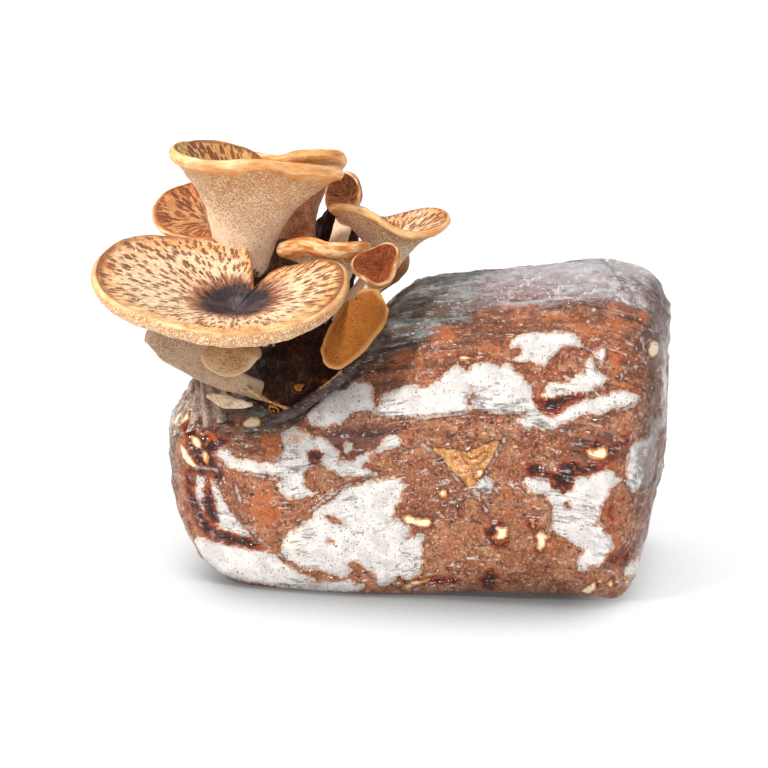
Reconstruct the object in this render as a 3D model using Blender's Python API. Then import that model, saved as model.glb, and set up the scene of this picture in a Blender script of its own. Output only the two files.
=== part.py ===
"""Dryad's saddle mushroom grow kit, at its real size, in metres, +Z up.

A sawdust block lies on its long side in a clear plastic bag. The bag is cut open at the block's left
shoulder, and a clump of dryad's saddle fruit bodies grows out of the cut. Each fruit body is one solid,
stem and cap together, because it grew as one piece. X runs along the block, -Y is the side with the
large cap, and the origin is the middle of the face that the block stands on.
"""

import copy
import math

import bmesh
import bpy
from mathutils import Vector, noise
from mathutils.bvhtree import BVHTree

MM = 0.001

# Driving dimensions, in millimetres.
BLOCK_DEPTH = 146.0
FILM_GAP = 0.4
FILM_WALL = 0.8
BASE_Z = FILM_GAP + FILM_WALL
BLOCK_SEGMENTS = 32
CREASE_HEIGHT = 104.0
FRONT_LEAN = 0.5
SECTION_POWER_LOW = [(-30.0, 13.0), (50.0, 5.5)]
SECTION_POWER_TOP = 3.2
BLOCK_LUMP = 2.5

# The block's outline from the front: X, underside height, top height, share of the full depth.
BLOCK_STATIONS = [
    (-138.5, 72, 90, 0.45),
    (-136, 60, 97.5, 0.66),
    (-131, 43, 102, 0.8),
    (-124, 26, 104.5, 0.9),
    (-114, 10, 105.5, 0.94),
    (-103, 2.5, 106, 0.965),
    (-86, -2, 107, 0.99),
    (-64, -2.5, 111, 1),
    (-48, -2.5, 120, 1),
    (-34, -2.5, 131, 1),
    (-21, -2.5, 147, 1),
    (-6, -2.5, 160, 1),
    (28, -2.5, 166, 1),
    (64, -2.5, 170.5, 1),
    (98, -2.5, 175.5, 0.98),
    (116, -2, 174.5, 0.95),
    (125, 2, 171.5, 0.92),
    (130, 18, 169, 0.89),
    (133, 37, 166.5, 0.84),
    (137.5, 57, 161, 0.74),
    (140, 78, 151, 0.5),
]

# The dark knot of stem bases that the fruit bodies share, half sunk in the block's left shoulder.
CLUMP_CENTRE = Vector((-62.0, -16.0, 112.0))
CLUMP_RADII = Vector((36.0, 46.0, 34.0))
CLUMP_LUMP = 3.0
STEM_GAP = 0.4
OPENING_MARGIN = 3.0

# The film's pleated gather at the left shoulder, and its rolled edge along the cut.
GATHER_FOOT = Vector((-112.0, -40.0, 92.0))
GATHER_TIP = Vector((-121.0, -34.0, 115.0))
GATHER_SIZES = [(24.0, 0.0), (19.0, 0.3), (13.0, 0.55), (8.5, 0.8), (7.0, 1.0)]
ROLL_POINTS = [(-63, -73, 90), (-60, -72, 99), (-52, -66, 113), (-42, -62, 123), (-31, -58, 133), (-20, -52, 143)]
ROLL_RADIUS = 3.6
ROLL_LIFT = 4.6


def deg(angle):
    return math.radians(angle)


def smooth(t):
    """Runs from 0 to 1 with level ends."""
    t = min(max(t, 0.0), 1.0)
    return t * t * (3.0 - 2.0 * t)


def clear_scene():
    for obj in list(bpy.data.objects):
        bpy.data.objects.remove(obj)


def material(name, colour, roughness):
    made = bpy.data.materials.new(name)
    made.use_nodes = True
    shader = made.node_tree.nodes["Principled BSDF"]
    shader.inputs["Base Color"].default_value = (*colour, 1.0)
    shader.inputs["Roughness"].default_value = roughness
    shader.inputs["Metallic"].default_value = 0.0
    return made


def finish_object(bm, name, made_of, crease_angle=40.0):
    """Turns a bmesh in millimetres into a named object in metres, smooth between its sharp edges."""
    bmesh.ops.recalc_face_normals(bm, faces=bm.faces)
    bmesh.ops.scale(bm, verts=bm.verts, vec=(MM, MM, MM))
    mesh = bpy.data.meshes.new(name)
    bm.to_mesh(mesh)
    bm.free()
    mesh.shade_smooth()
    mesh.set_sharp_from_angle(angle=deg(crease_angle))
    mesh.materials.append(made_of)
    obj = bpy.data.objects.new(name, mesh)
    bpy.context.scene.collection.objects.link(obj)
    return obj


def loft(rings):
    """Extrudes a first ring of edges through every following ring, and closes both ends with a fan."""
    bm = bmesh.new()
    bmesh.ops.create_circle(bm, cap_ends=False, segments=len(rings[0]), radius=1.0)
    loop = list(bm.verts)
    edges = list(bm.edges)
    for vert, place in zip(loop, rings[0]):
        vert.co = place
    first_edges = edges
    for ring in rings[1:]:
        grown = bmesh.ops.extrude_edge_only(bm, edges=edges)["geom"]
        fresh = {item for item in grown if isinstance(item, bmesh.types.BMVert)}
        edges = [e for e in grown if isinstance(e, bmesh.types.BMEdge) and e.verts[0] in fresh and e.verts[1] in fresh]
        step = {}
        for vert in loop:
            for edge in vert.link_edges:
                if edge.other_vert(vert) in fresh:
                    step[vert] = edge.other_vert(vert)
        loop = [step[vert] for vert in loop]
        for vert, place in zip(loop, ring):
            vert.co = place
    for end in (first_edges, edges):
        filled = bmesh.ops.holes_fill(bm, edges=end, sides=0)["faces"]
        bmesh.ops.poke(bm, faces=filled)
    bmesh.ops.triangulate(bm, faces=bm.faces, quad_method="FIXED")
    return bm


def station(x):
    """The block's underside, top and depth share at one X, read between its stations."""
    for left, right in zip(BLOCK_STATIONS, BLOCK_STATIONS[1:]):
        if x <= right[0]:
            share = (x - left[0]) / (right[0] - left[0])
            return [a + (b - a) * share for a, b in zip(left[1:], right[1:])]
    return list(BLOCK_STATIONS[-1][1:])


def section_power(x):
    """How square the lower corners are: nearly sharp on the left, rounder on the right."""
    (left, sharp), (right, blunt) = SECTION_POWER_LOW
    return sharp + (blunt - sharp) * smooth((x - left) / (right - left))


def block_section(x):
    """A section of the block across X: a rounded rectangle whose front leans back above the crease."""
    low, top, share = station(x)
    power_low = section_power(x)
    half_depth = BLOCK_DEPTH / 2 * share
    middle, half_height = (low + top) / 2, (top - low) / 2
    ring = []
    for i in range(BLOCK_SEGMENTS):
        angle = 2 * math.pi * (i + 0.5) / BLOCK_SEGMENTS
        across, up = math.cos(angle), math.sin(angle)
        power = power_low if up < 0 else SECTION_POWER_TOP
        reach = (abs(across) ** power + abs(up) ** power) ** (-1 / power)
        y, z = across * reach * half_depth, middle + up * reach * half_height
        y += FRONT_LEAN * max(0.0, z - CREASE_HEIGHT) * smooth(0.5 - y / half_depth)
        lump = noise.noise(Vector((x, y, z)) * 0.021) * BLOCK_LUMP
        y += lump if y > 0 else -lump
        z = max(z, 0.0) + BASE_Z if z < 40 else z + lump * 0.6 + BASE_Z
        ring.append(Vector((x, y, z)))
    return ring


def clump_mesh(offset=0.0):
    """The lumpy clump, grown outwards by offset."""
    bm = bmesh.new()
    bmesh.ops.create_icosphere(bm, subdivisions=3, radius=1.0)
    for vert in bm.verts:
        way = vert.co.normalized()
        reach = 1.0 / math.sqrt(sum((w / r) ** 2 for w, r in zip(way, CLUMP_RADII)))
        reach += CLUMP_LUMP * noise.noise(way * 2.3 + Vector((4.1, 1.7, 0.3))) + offset
        vert.co = CLUMP_CENTRE + way * reach
    return bm


def helper(bm, name):
    """A helper solid that only shapes others."""
    obj = finish_object(bm, name, material(name, (0.5, 0.5, 0.5), 0.5))
    obj.hide_render = True
    obj.display_type = "WIRE"
    return obj


def combine(target, tool, operation, label):
    modifier = target.modifiers.new(label, "BOOLEAN")
    modifier.operation = operation
    modifier.solver = "EXACT"
    modifier.object = tool


def film_wall(rings, offset, floor):
    """The block's own surface grown outwards, resting on a level floor."""
    bm = loft(rings)
    bmesh.ops.recalc_face_normals(bm, faces=bm.faces)
    bm.normal_update()
    shifts = [(vert, vert.normal.copy()) for vert in bm.verts]
    for vert, normal in shifts:
        resting = vert.co.z < BASE_Z + 0.01
        vert.co += normal * offset
        vert.co.z = floor if resting else max(vert.co.z, floor)
    return bm


def gather_mesh():
    """The gather: a steep cone with pleats, drawn together to a flattened tip."""
    rings = []
    lean = GATHER_TIP - GATHER_FOOT
    for size, share in GATHER_SIZES:
        middle = GATHER_FOOT + lean * share
        ring = []
        for i in range(20):
            angle = 2 * math.pi * i / 20
            pleat = 1.0 + (0.12 if i % 2 else -0.12) * min(1.0, share * 3)
            y = math.sin(angle) * size * pleat * (1.0 - 0.35 * share)
            ring.append(middle + Vector((math.cos(angle) * size * pleat, y, 0.0)))
        rings.append(ring)
    return loft(rings)


def roll_mesh(rings):
    """The rolled film edge: a rope laid on the bag, along the cut's lower right side."""
    block = loft(rings)
    bmesh.ops.recalc_face_normals(block, faces=block.faces)
    tree = BVHTree.FromBMesh(block)
    block.free()
    line = []
    for point in ROLL_POINTS:
        place, normal, index, distance = tree.find_nearest(Vector(point))
        line.append((place + normal * ROLL_LIFT, normal))
    hoops = []
    for i, (place, normal) in enumerate(line):
        ahead = line[min(i + 1, len(line) - 1)][0] - line[max(i - 1, 0)][0]
        side = ahead.normalized().cross(normal).normalized()
        rise = side.cross(ahead.normalized())
        size = ROLL_RADIUS * (0.75 if i in (0, len(line) - 1) else 1.0 + 0.12 * (-1) ** i)
        turns = [2 * math.pi * k / 8 for k in range(8)]
        hoops.append([place + (side * math.cos(a) * 1.2 + rise * math.sin(a)) * size for a in turns])
    return loft(hoops)


class Fruit:
    """The driving sizes of one fruit body, in millimetres and degrees.

    centre is the middle of the cap's margin. lean_front and lean_right tip the margin's plane towards the
    viewer and to the right. reach holds the margin's radius to the right, back, left and front. bowl is how
    deep the cap's middle lies under the margin, bowl_shift where that middle is, and bowl_power how
    steeply the cap rises from it. neck is the stem's radius under the cap, as a share of the cap's.
    notch holds (direction, half width, share cut away), waves the margin's (height, count, phase), bumps
    its (direction, half width, height) and swells its (share, count, phase).
    """

    def __init__(self, name, centre, reach, foot, foot_radius, **more):
        self.name = name
        self.centre = Vector(centre)
        self.reach = reach
        self.foot = Vector(foot)
        self.foot_radius = foot_radius
        self.lean_front = more.get("lean_front", 0.0)
        self.lean_right = more.get("lean_right", 0.0)
        self.bowl = more.get("bowl", 12.0)
        self.bowl_shift = more.get("bowl_shift", (0.0, 0.0))
        self.bowl_power = more.get("bowl_power", 1.0)
        self.neck = more.get("neck", 0.3)
        self.neck_depth = more.get("neck_depth", 10.0)
        self.lip = more.get("lip", 6.0)
        self.notch = more.get("notch", ())
        self.waves = more.get("waves", ())
        self.bumps = more.get("bumps", ())
        self.swells = more.get("swells", ())
        self.taper = more.get("taper", 1.15)
        self.foot_way = Vector(more.get("foot_way", (0.0, 0.0, -1.0))).normalized()
        self.bend = more.get("bend", (0.4, 0.4))
        self.segments = more.get("segments", 22)
        self.bowl_rings = more.get("bowl_rings", 3)
        self.stem_rings = more.get("stem_rings", 5)

    def axes(self):
        """The margin plane's right, back and up directions."""
        front, right = deg(self.lean_front), deg(self.lean_right)
        up = Vector((math.sin(right), -math.sin(front), math.cos(front) * math.cos(right))).normalized()
        along = Vector((1.0, 0.0, 0.0))
        along = (along - up * along.dot(up)).normalized()
        return along, up.cross(along), up

    def full_radius(self, angle):
        right, back, left, front = self.reach
        across, deep = math.cos(angle), math.sin(angle)
        a = right if across > 0 else left
        b = back if deep > 0 else front
        size = 1.0 / math.sqrt((across / a) ** 2 + (deep / b) ** 2)
        for share, count, phase in self.swells:
            size *= 1.0 + share * math.cos(count * angle + deg(phase))
        return size

    def margin_radius(self, angle):
        size = self.full_radius(angle)
        for way, half_width, share in self.notch:
            off = (angle - deg(way) + math.pi) % (2 * math.pi) - math.pi
            size *= 1.0 - share * math.exp(-((off / deg(half_width)) ** 2))
        return size

    def margin_lift(self, angle):
        lift = sum(h * math.cos(count * angle + deg(phase)) for h, count, phase in self.waves)
        for way, half_width, height in self.bumps:
            off = (angle - deg(way) + math.pi) % (2 * math.pi) - math.pi
            lift += height * math.exp(-((off / deg(half_width)) ** 2))
        return lift

    def bowl_point(self, angle, share):
        """A point of the cap's upper face: share runs from 0 in the middle to 1 at the margin."""
        along, back, up = self.axes()
        full, margin = self.full_radius(angle), self.margin_radius(angle)
        out = margin * share
        height = -self.bowl * (1.0 - (out / full) ** self.bowl_power)
        height += self.margin_lift(angle) * (out / full) ** 2
        x = math.cos(angle) * out + self.bowl_shift[0] * (1.0 - share)
        y = math.sin(angle) * out + self.bowl_shift[1] * (1.0 - share)
        return self.centre + along * x + back * y + up * height

    def thickness(self, share):
        """The cap's thickness: the lip at the margin, and more above the neck."""
        rise = (1.0 - share) / (1.0 - self.neck)
        return self.lip + (self.neck_depth - self.lip) * rise**1.6

    def stem(self, neck, turns):
        """Rings down the stem: the neck's shape turns into the round foot."""
        along, back, up = self.axes()
        middle = sum(neck, Vector()) / len(neck)
        span = (self.foot - middle).length
        first = middle - up * span * self.bend[0]
        last = self.foot - self.foot_way * span * self.bend[1]
        side = (along - self.foot_way * along.dot(self.foot_way)).normalized()
        deep = side.cross(self.foot_way)
        rings = []
        for i in range(1, self.stem_rings + 1):
            t = i / self.stem_rings
            place = middle * (1 - t) ** 3 + first * 3 * t * (1 - t) ** 2
            place += last * 3 * t * t * (1 - t) + self.foot * t**3
            turned = smooth(t * self.taper)
            ring = []
            for a, point in zip(turns, neck):
                end = (side * math.cos(a) + deep * math.sin(a)) * self.foot_radius
                ring.append(place + (point - middle) * (1.0 - turned) + end * turned)
            rings.append(ring)
        return rings

    def grown(self, offset):
        """The same fruit body, larger by offset on every side."""
        larger = copy.copy(self)
        larger.centre = self.centre + self.axes()[2] * offset
        larger.reach = tuple(reach + offset for reach in self.reach)
        larger.lip += 2.0 * offset
        larger.neck_depth += 2.0 * offset
        larger.neck += offset / min(self.reach)
        larger.foot_radius += offset
        return larger

    def rings(self):
        along, back, up = self.axes()
        turns = [2 * math.pi * i / self.segments for i in range(self.segments)]
        shares = [0.12 + 0.88 * i / self.bowl_rings for i in range(self.bowl_rings + 1)]
        rings = [[self.bowl_point(a, s) for a in turns] for s in shares]
        edge = []
        for a in turns:
            out = along * math.cos(a) + back * math.sin(a)
            edge.append(self.bowl_point(a, 1.0) + out * self.lip * 0.42 - up * self.lip * 0.5)
        rings.append(edge)
        for i in range(self.bowl_rings + 1):
            share = 1.0 - (1.0 - self.neck) * i / self.bowl_rings
            rings.append([self.bowl_point(a, share) - up * self.thickness(share) for a in turns])
        return rings + self.stem(rings[-1], turns)


FRUITS = [
    Fruit(
        "front_large_cap", (-90, -66, 178), (57.5, 59, 78.5, 57), (-74, -26, 130), 12,
        lean_front=15.5, lean_right=2, bowl=24, bowl_shift=(-6, 6), bowl_power=0.85, neck=0.24,
        neck_depth=14, lip=8, notch=((83, 13, 0.64), (61, 24, 0.34), (150, 24, -0.07)),
        bumps=((122, 36, -6), (160, 36, 5), (36, 30, 4.5)), waves=((3.2, 1, -155), (1.6, 1, -35), (1.0, 3, 40)),
        segments=40, bowl_rings=5, stem_rings=4, foot_way=(0.5, 0.5, -0.7),
    ),
    Fruit(
        "tall_funnel_cap", (-91, -18, 238.5), (47.5, 32, 47.5, 30), (-86, -4, 118), 8.5,
        lean_front=6, lean_right=9, bowl=56, bowl_shift=(-7, 13), bowl_power=0.7, neck=0.42, neck_depth=13,
        lip=7, notch=((70, 22, 0.2),), waves=((3.4, 2, 98), (6.4, 1, 92)),
        bumps=((-5, 32, 4.5), (62, 24, -6)), bend=(0.55, 0.4),
        taper=1.7, foot_way=(0.5, 0, -0.85), segments=28, bowl_rings=4,
    ),
    Fruit(
        "left_back_cap", (-137, 22, 202.5), (26, 24, 26, 24), (-80, 13, 118), 5.5,
        lean_front=33, lean_right=4, bowl=13, bowl_shift=(5, 2), bowl_power=0.8, neck=0.28, lip=5,
        foot_way=(0.5, -0.1, -0.9),
    ),
    Fruit(
        "rear_tall_cap", (-84, 50, 231), (28, 22, 36, 22), (-68, 13, 120), 8,
        lean_front=-17, lean_right=-4, bowl=42, bowl_power=0.75, neck=0.36, neck_depth=12, lip=7.5,
        waves=((1.2, 3, 90), (0.9, 5, 0), (1.0, 1, 0)), segments=24,
    ),
    Fruit(
        "small_hooded_cap", (-51.5, 30, 212.5), (11, 12, 11, 12), (-63, 10, 124), 6,
        lean_front=70, lean_right=-25, bowl=7, neck=0.62, neck_depth=6, lip=4.5, bend=(0.12, 0.5),
        segments=18, bowl_rings=2, stem_rings=7,
    ),
    Fruit(
        "right_wavy_cap", (-19, 5, 204.5), (34, 22, 33, 20), (-48, -8, 126), 6.5,
        lean_front=4, lean_right=3, bowl=22, bowl_shift=(3, 0), bowl_power=0.65, neck=0.28, neck_depth=9,
        lip=5, waves=((5.1, 2, -81), (4.15, 1, 125)), bumps=((8, 34, 3),), bend=(0.25, 0.45), segments=28,
    ),
    Fruit(
        "middle_fan_cap", (-53, -12, 191), (24, 11, 24, 16), (-60, -18, 130), 5.5,
        lean_front=-14, bowl=10, bowl_shift=(11, 3), neck=0.34, lip=9, neck_depth=11, waves=((1.2, 3, 0),),
    ),
    Fruit(
        "pinched_pocket_cap", (-18, -38, 184), (11, 12, 12.5, 11), (-44, -24, 126), 4.5,
        lean_front=50, lean_right=-10, bowl=9, neck=0.42, neck_depth=6, lip=5, bend=(0.25, 0.45),
        swells=((0.15, 3, 210),), segments=20,
    ),
]

# Fruit bodies that are leaning spatulas: (middle line point, half width, half thickness), then their face.
TONGUES = {
    "hanging_tongue_cap": (
        [
            ((-45, -34, 122), 6, 6), ((-39, -40, 138), 6, 5.5), ((-30, -48, 151), 7, 5),
            ((-22, -56, 160), 9, 4.5), ((-18.5, -63, 164), 11.5, 4), ((-19.5, -70, 162), 12.5, 4),
            ((-23.5, -76, 155.5), 12, 4), ((-28, -80.5, 148.5), 11, 4), ((-32.5, -83.5, 142), 9, 3.5),
            ((-36, -84.2, 138), 6.5, 3), ((-37.5, -84, 136.5), 3, 2),
        ],
        (0.1, -1.0, 0.3),
    ),
    "lower_left_cap": (
        [
            ((-74, -43, 107), 6, 5), ((-87, -58, 115), 7, 4.5), ((-104.5, -71, 125.5), 10, 4),
            ((-117, -79, 137), 13, 4.5), ((-130, -80, 143.5), 11, 4.5), ((-140, -78, 146.5), 4, 3),
        ],
        (0.0, -0.9, -0.35),
    ),
    "lower_round_cap": (
        [
            ((-86, -62, 137), 8, 5), ((-87, -74, 140.5), 10, 4.5), ((-88, -84, 143), 12.5, 4.5),
            ((-88, -93, 144.5), 15, 4.5), ((-88, -99.5, 143), 15.8, 4.5), ((-88, -101.5, 139), 14, 4),
            ((-88, -101, 134.5), 11, 3.5), ((-88, -100, 132), 6.5, 2.5),
        ],
        (0.0, -1.0, 0.6),
    ),
    "rear_knob": (
        [
            ((-46, 12, 124), 3.5, 3.5), ((-40, 15, 145), 3.5, 3.5), ((-28, 19, 159), 4, 4),
            ((-19, 22, 168), 5.5, 5.5), ((-13, 23.5, 176), 4.5, 4.5), ((-11, 24, 179), 1.5, 1.5),
        ],
        (0.3, -1.0, 0.2),
    ),
}
# Old stems that stand up from the back of the clump, in the same way.
OLD_STEMS = {
    "old_stem_wall": [
        ((-60, 16, 122), 12, 9), ((-61, 33, 148), 14, 8), ((-61, 45, 170), 15, 7), ((-60, 52, 190), 13, 5),
        ((-60, 54, 200), 7, 3),
    ],
    "old_stem_stump": [
        ((-72, -2, 130), 12, 10), ((-82, 9, 150), 13, 9), ((-88, 17, 168), 12.5, 7), ((-89, 20, 181), 10.5, 5),
        ((-89, 21, 186), 6, 3),
    ],
}
OLD_STEMS_FACE = (0.0, -1.0, 0.4)
# What a fruit body leans on besides the clump.
LEANS_ON = {
    "lower_round_cap": ["front_large_cap"],
    "tall_funnel_cap": ["front_large_cap", "old_stem_stump"],
    "left_back_cap": ["old_stem_stump", "old_stem_wall"],
    "small_hooded_cap": ["rear_tall_cap", "old_stem_wall", "old_stem_stump"],
}
TONGUE_SEGMENTS = 14
TONGUE_CURL = 0.22


def tongue_mesh(line, face, offset=0.0):
    """A leaning spatula, grown outwards by offset: ovals along its middle line, with edges curled away."""
    face = Vector(face).normalized()
    places = [Vector(place) for place, width, thick in line]
    rings = []
    for i, (place, width, thick) in enumerate(line):
        ahead = (places[min(i + 1, len(line) - 1)] - places[max(i - 1, 0)]).normalized()
        side = ahead.cross(face).normalized()
        out = side.cross(ahead)
        ring = []
        for k in range(TONGUE_SEGMENTS):
            angle = 2 * math.pi * k / TONGUE_SEGMENTS
            across = math.cos(angle)
            curl = TONGUE_CURL * max(0.0, width - thick) * across * across
            lift = math.sin(angle) * (thick + offset) - curl
            ring.append(places[i] + side * across * (width + offset) + out * lift)
        rings.append(ring)
    return loft(rings)


def main():
    clear_scene()
    sawdust = material("sawdust_block", (0.36, 0.2, 0.12), 0.8)
    film = material("clear_film", (0.75, 0.75, 0.78), 0.2)
    dark = material("stem_base", (0.06, 0.035, 0.02), 0.85)
    flesh = material("mushroom", (0.8, 0.5, 0.22), 0.7)

    rings = [block_section(row[0]) for row in BLOCK_STATIONS]
    block = finish_object(loft(rings), "substrate_block", sawdust)
    bag = finish_object(film_wall(rings, FILM_GAP + FILM_WALL, 0.0), "bag", film)
    hollow = helper(film_wall(rings, FILM_GAP, FILM_WALL), "bag_hollow")
    opening = helper(clump_mesh(OPENING_MARGIN), "bag_opening")
    socket = helper(clump_mesh(STEM_GAP), "clump_socket")
    gather = helper(gather_mesh(), "bag_gather")
    roll = helper(roll_mesh(rings), "bag_roll")
    combine(bag, gather, "UNION", "gather")
    combine(bag, opening, "DIFFERENCE", "cut opening")
    combine(bag, roll, "UNION", "rolled edge")
    combine(bag, hollow, "DIFFERENCE", "hollow")
    combine(bag, socket, "DIFFERENCE", "clear of the clump")
    combine(block, socket, "DIFFERENCE", "clump socket")

    clump = finish_object(clump_mesh(), "stem_clump", dark)
    grown = {}
    for fruit in FRUITS:
        if any(fruit.name in others for others in LEANS_ON.values()):
            grown[fruit.name] = helper(loft(fruit.grown(STEM_GAP).rings()), fruit.name + "_grown")
    for name, line in OLD_STEMS.items():
        stem = helper(tongue_mesh(line, OLD_STEMS_FACE), name)
        grown[name] = helper(tongue_mesh(line, OLD_STEMS_FACE, STEM_GAP), name + "_grown")
        combine(stem, grown["rear_tall_cap"], "DIFFERENCE", "clear of the rear cap")
        combine(clump, stem, "UNION", name)

    bodies = [finish_object(loft(fruit.rings()), fruit.name, flesh) for fruit in FRUITS]
    bodies += [finish_object(tongue_mesh(line, face), name, flesh) for name, (line, face) in TONGUES.items()]
    for body in bodies:
        combine(body, socket, "DIFFERENCE", "stand on the clump")
        for name in LEANS_ON.get(body.name, []):
            combine(body, grown[name], "DIFFERENCE", "lean on " + name)


main()
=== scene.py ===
# %% [markdown] # A dryad's saddle grow kit  A block of sawdust, bound by the white threads of a fungus,
# lies on its long side in a clear bag. The bag was cut open at one shoulder, and a clump of dryad's
# saddle caps grows out of the cut. The solids come first, because every fine piece has to lie in the
# space that its solid holds.

# %% The plain solids
from math import cos, exp, hypot, pi, radians, sin, sqrt

import bmesh
import bpy
import numpy as np
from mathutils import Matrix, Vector, noise


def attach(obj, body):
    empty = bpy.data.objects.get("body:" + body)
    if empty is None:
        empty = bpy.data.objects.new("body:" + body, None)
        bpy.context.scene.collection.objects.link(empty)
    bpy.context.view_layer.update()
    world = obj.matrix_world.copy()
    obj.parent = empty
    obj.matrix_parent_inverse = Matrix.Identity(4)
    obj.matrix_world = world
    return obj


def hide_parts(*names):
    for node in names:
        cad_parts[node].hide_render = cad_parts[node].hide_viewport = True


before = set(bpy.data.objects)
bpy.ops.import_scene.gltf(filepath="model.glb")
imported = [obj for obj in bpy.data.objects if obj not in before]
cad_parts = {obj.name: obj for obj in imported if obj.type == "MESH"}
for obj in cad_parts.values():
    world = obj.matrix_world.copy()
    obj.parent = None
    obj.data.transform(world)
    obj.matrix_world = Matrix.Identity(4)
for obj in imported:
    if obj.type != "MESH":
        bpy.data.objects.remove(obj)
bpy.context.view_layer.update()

MM = 0.001

# %% [markdown]
# Finishes are written as formulas. A net adds nodes, and hands back what they put out as fields, which can
# be added and multiplied and led on to the next node, so one line reads as one step. Colours are given as
# eye values from 0 to 255, because that is how a colour is read off a swatch, and turned into the linear
# values that a shader wants. An effect that several finishes share goes into a group with named sockets.

# %% A helper for writing shader nodes
def paint(*eye):
    """The linear colour of a shader, from the red, green and blue that the eye sees."""
    shares = [value / 255 for value in eye]
    return (*[v / 12.92 if v < 0.04045 else ((v + 0.055) / 1.055) ** 2.4 for v in shares], 1)


def operator(operation, swapped=False):
    """A method that adds a math node, or a vector one where a vector takes part."""
    def work(field, other=None):
        pair = (other, field) if swapped else (field, other)
        kind = "VectorMath" if field.socket.type == "VECTOR" or isinstance(other, tuple) else "Math"
        inputs = {i: value for i, value in enumerate(pair) if value is not None}
        return field.net.add(kind, inputs, operation=operation)
    return work


class Field:
    """One output of a node: a number, a colour or a vector that changes over the surface."""

    __add__, __sub__, __rsub__ = operator("ADD"), operator("SUBTRACT"), operator("SUBTRACT", True)
    __mul__, __truediv__, __rtruediv__ = operator("MULTIPLY"), operator("DIVIDE"), operator("DIVIDE", True)
    at_least, at_most, absolute = operator("MAXIMUM"), operator("MINIMUM"), operator("ABSOLUTE")
    cosine, sine, normalized = operator("COSINE"), operator("SINE"), operator("NORMALIZE")

    def __init__(self, net, socket):
        self.net, self.socket = net, socket

    def scaled(self, factor):
        return self.net.add("VectorMath", {0: self, "Scale": factor}, operation="SCALE")

    def split(self):
        kind = "SeparateXYZ" if self.socket.type == "VECTOR" else "SeparateColor"
        return self.net.add(kind, {0: self}, 0, 1, 2)

    def fade(self, low, high, start=0, end=1):
        """Runs smoothly from start to end as this value goes from low to high."""
        inputs = dict(enumerate((self, low, high, start, end)))
        return self.net.add("MapRange", inputs, interpolation_type="SMOOTHSTEP")

    def between(self, first, second):
        """A mix of two colours, with this share of the second."""
        return self.net.add("Mix", {0: self, 6: first, 7: second}, 2, data_type="RGBA")

    def coat(self, share, tone):
        """This colour with a share of a tone laid over it."""
        return share.between(self, tone)

    def noise(self, size, detail=2, rough=0.55, warp=0, output=0):
        """Noise of about that size at this place."""
        inputs = {"Vector": self, "Scale": 1 / size, "Detail": detail, "Roughness": rough, "Distortion": warp}
        return self.net.add("TexNoise", inputs, output)

    def cells(self, size):
        """Cells of about that size: the way to each one's middle, and two numbers of its own."""
        middle, own = self.net.add("TexVoronoi", {"Vector": self, "Scale": 1 / size}, "Distance", "Color")
        return (middle, *own.split()[:2])

    def walls(self, size):
        """The distance to the walls between the same cells."""
        return self.net.add("TexVoronoi", {"Vector": self, "Scale": 1 / size}, feature="DISTANCE_TO_EDGE")

    def bump(self, depth):
        """A normal from a height of 0 to 1 that stands for that many millimetres."""
        return self.net.add("Bump", {"Height": self, "Distance": depth * MM, "Strength": 1}, "Normal")


class Net:
    """A node tree written as formulas, with places and sizes in millimetres."""

    def __init__(self, tree):
        self.tree = tree

    def lead(self, value, socket):
        """Links a field to a socket, or sets the socket; three numbers for a colour are eye values."""
        if isinstance(value, Field):
            self.tree.links.new(value.socket, socket)
        else:
            eye = socket.type == "RGBA" and len(value) == 3
            socket.default_value = paint(*value) if eye else value

    def add(self, kind, inputs=None, *outputs, **settings):
        """A new node with its inputs led in. Gives the outputs that are named, or else the first."""
        node = self.tree.nodes.new("ShaderNode" + kind)
        for key, value in settings.items():
            setattr(node, key, value)
        for key, value in (inputs or {}).items():
            self.lead(value, node.inputs[key])
        fields = [Field(self, node.outputs[name]) for name in outputs or (0,)]
        return fields if len(fields) > 1 else fields[0]

    def group(self, tree, **inputs):
        """A node of a shader group, with all its outputs."""
        named = [item.name for item in tree.interface.items_tree if item.in_out == "OUTPUT"]
        return self.add("Group", inputs, *named, node_tree=tree)

    def place(self):
        """The object's own coordinates, in millimetres."""
        return self.add("TexCoord", None, "Object") * (1 / MM, 1 / MM, 1 / MM)

    def number(self, name, kind="Fac"):
        """A number that the mesh carries under that name."""
        return self.add("Attribute", None, kind, attribute_name=name)


class Finish(Net):
    """A material with its net."""

    def __init__(self, name):
        self.material = bpy.data.materials.new(name)
        self.material.use_nodes = True
        super().__init__(self.material.node_tree)
        self.shader = self.tree.nodes["Principled BSDF"]

    def dress(self, inputs):
        """Leads fields and plain numbers to the shader's own sockets."""
        for name, value in inputs.items():
            self.lead(value, self.shader.inputs[name])
        return self.material


SOCKETS = {"VALUE": "NodeSocketFloat", "RGBA": "NodeSocketColor", "VECTOR": "NodeSocketVector"}


class Group(Net):
    """A new shader group with named sockets."""

    def __init__(self, name, **inputs):
        """inputs gives each one's number, its eye colour, or None for a vector."""
        super().__init__(bpy.data.node_groups.new(name, "ShaderNodeTree"))
        for label, value in inputs.items():
            kind = "VECTOR" if value is None else "RGBA" if isinstance(value, tuple) else "VALUE"
            socket = self.tree.interface.new_socket(label, in_out="INPUT", socket_type=SOCKETS[kind])
            if value is not None:
                socket.default_value = paint(*value) if kind == "RGBA" else value
        given = self.tree.nodes.new("NodeGroupInput").outputs
        self.given = [Field(self, given[label]) for label in inputs]

    def put_out(self, **fields):
        """Gives the group its named outputs, and returns its tree."""
        for label, field in fields.items():
            kind = SOCKETS[field.socket.type]
            self.tree.interface.new_socket(label, in_out="OUTPUT", socket_type=kind)
        end = self.tree.nodes.new("NodeGroupOutput")
        for label, field in fields.items():
            self.lead(field, end.inputs[label])
        return self.tree


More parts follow.
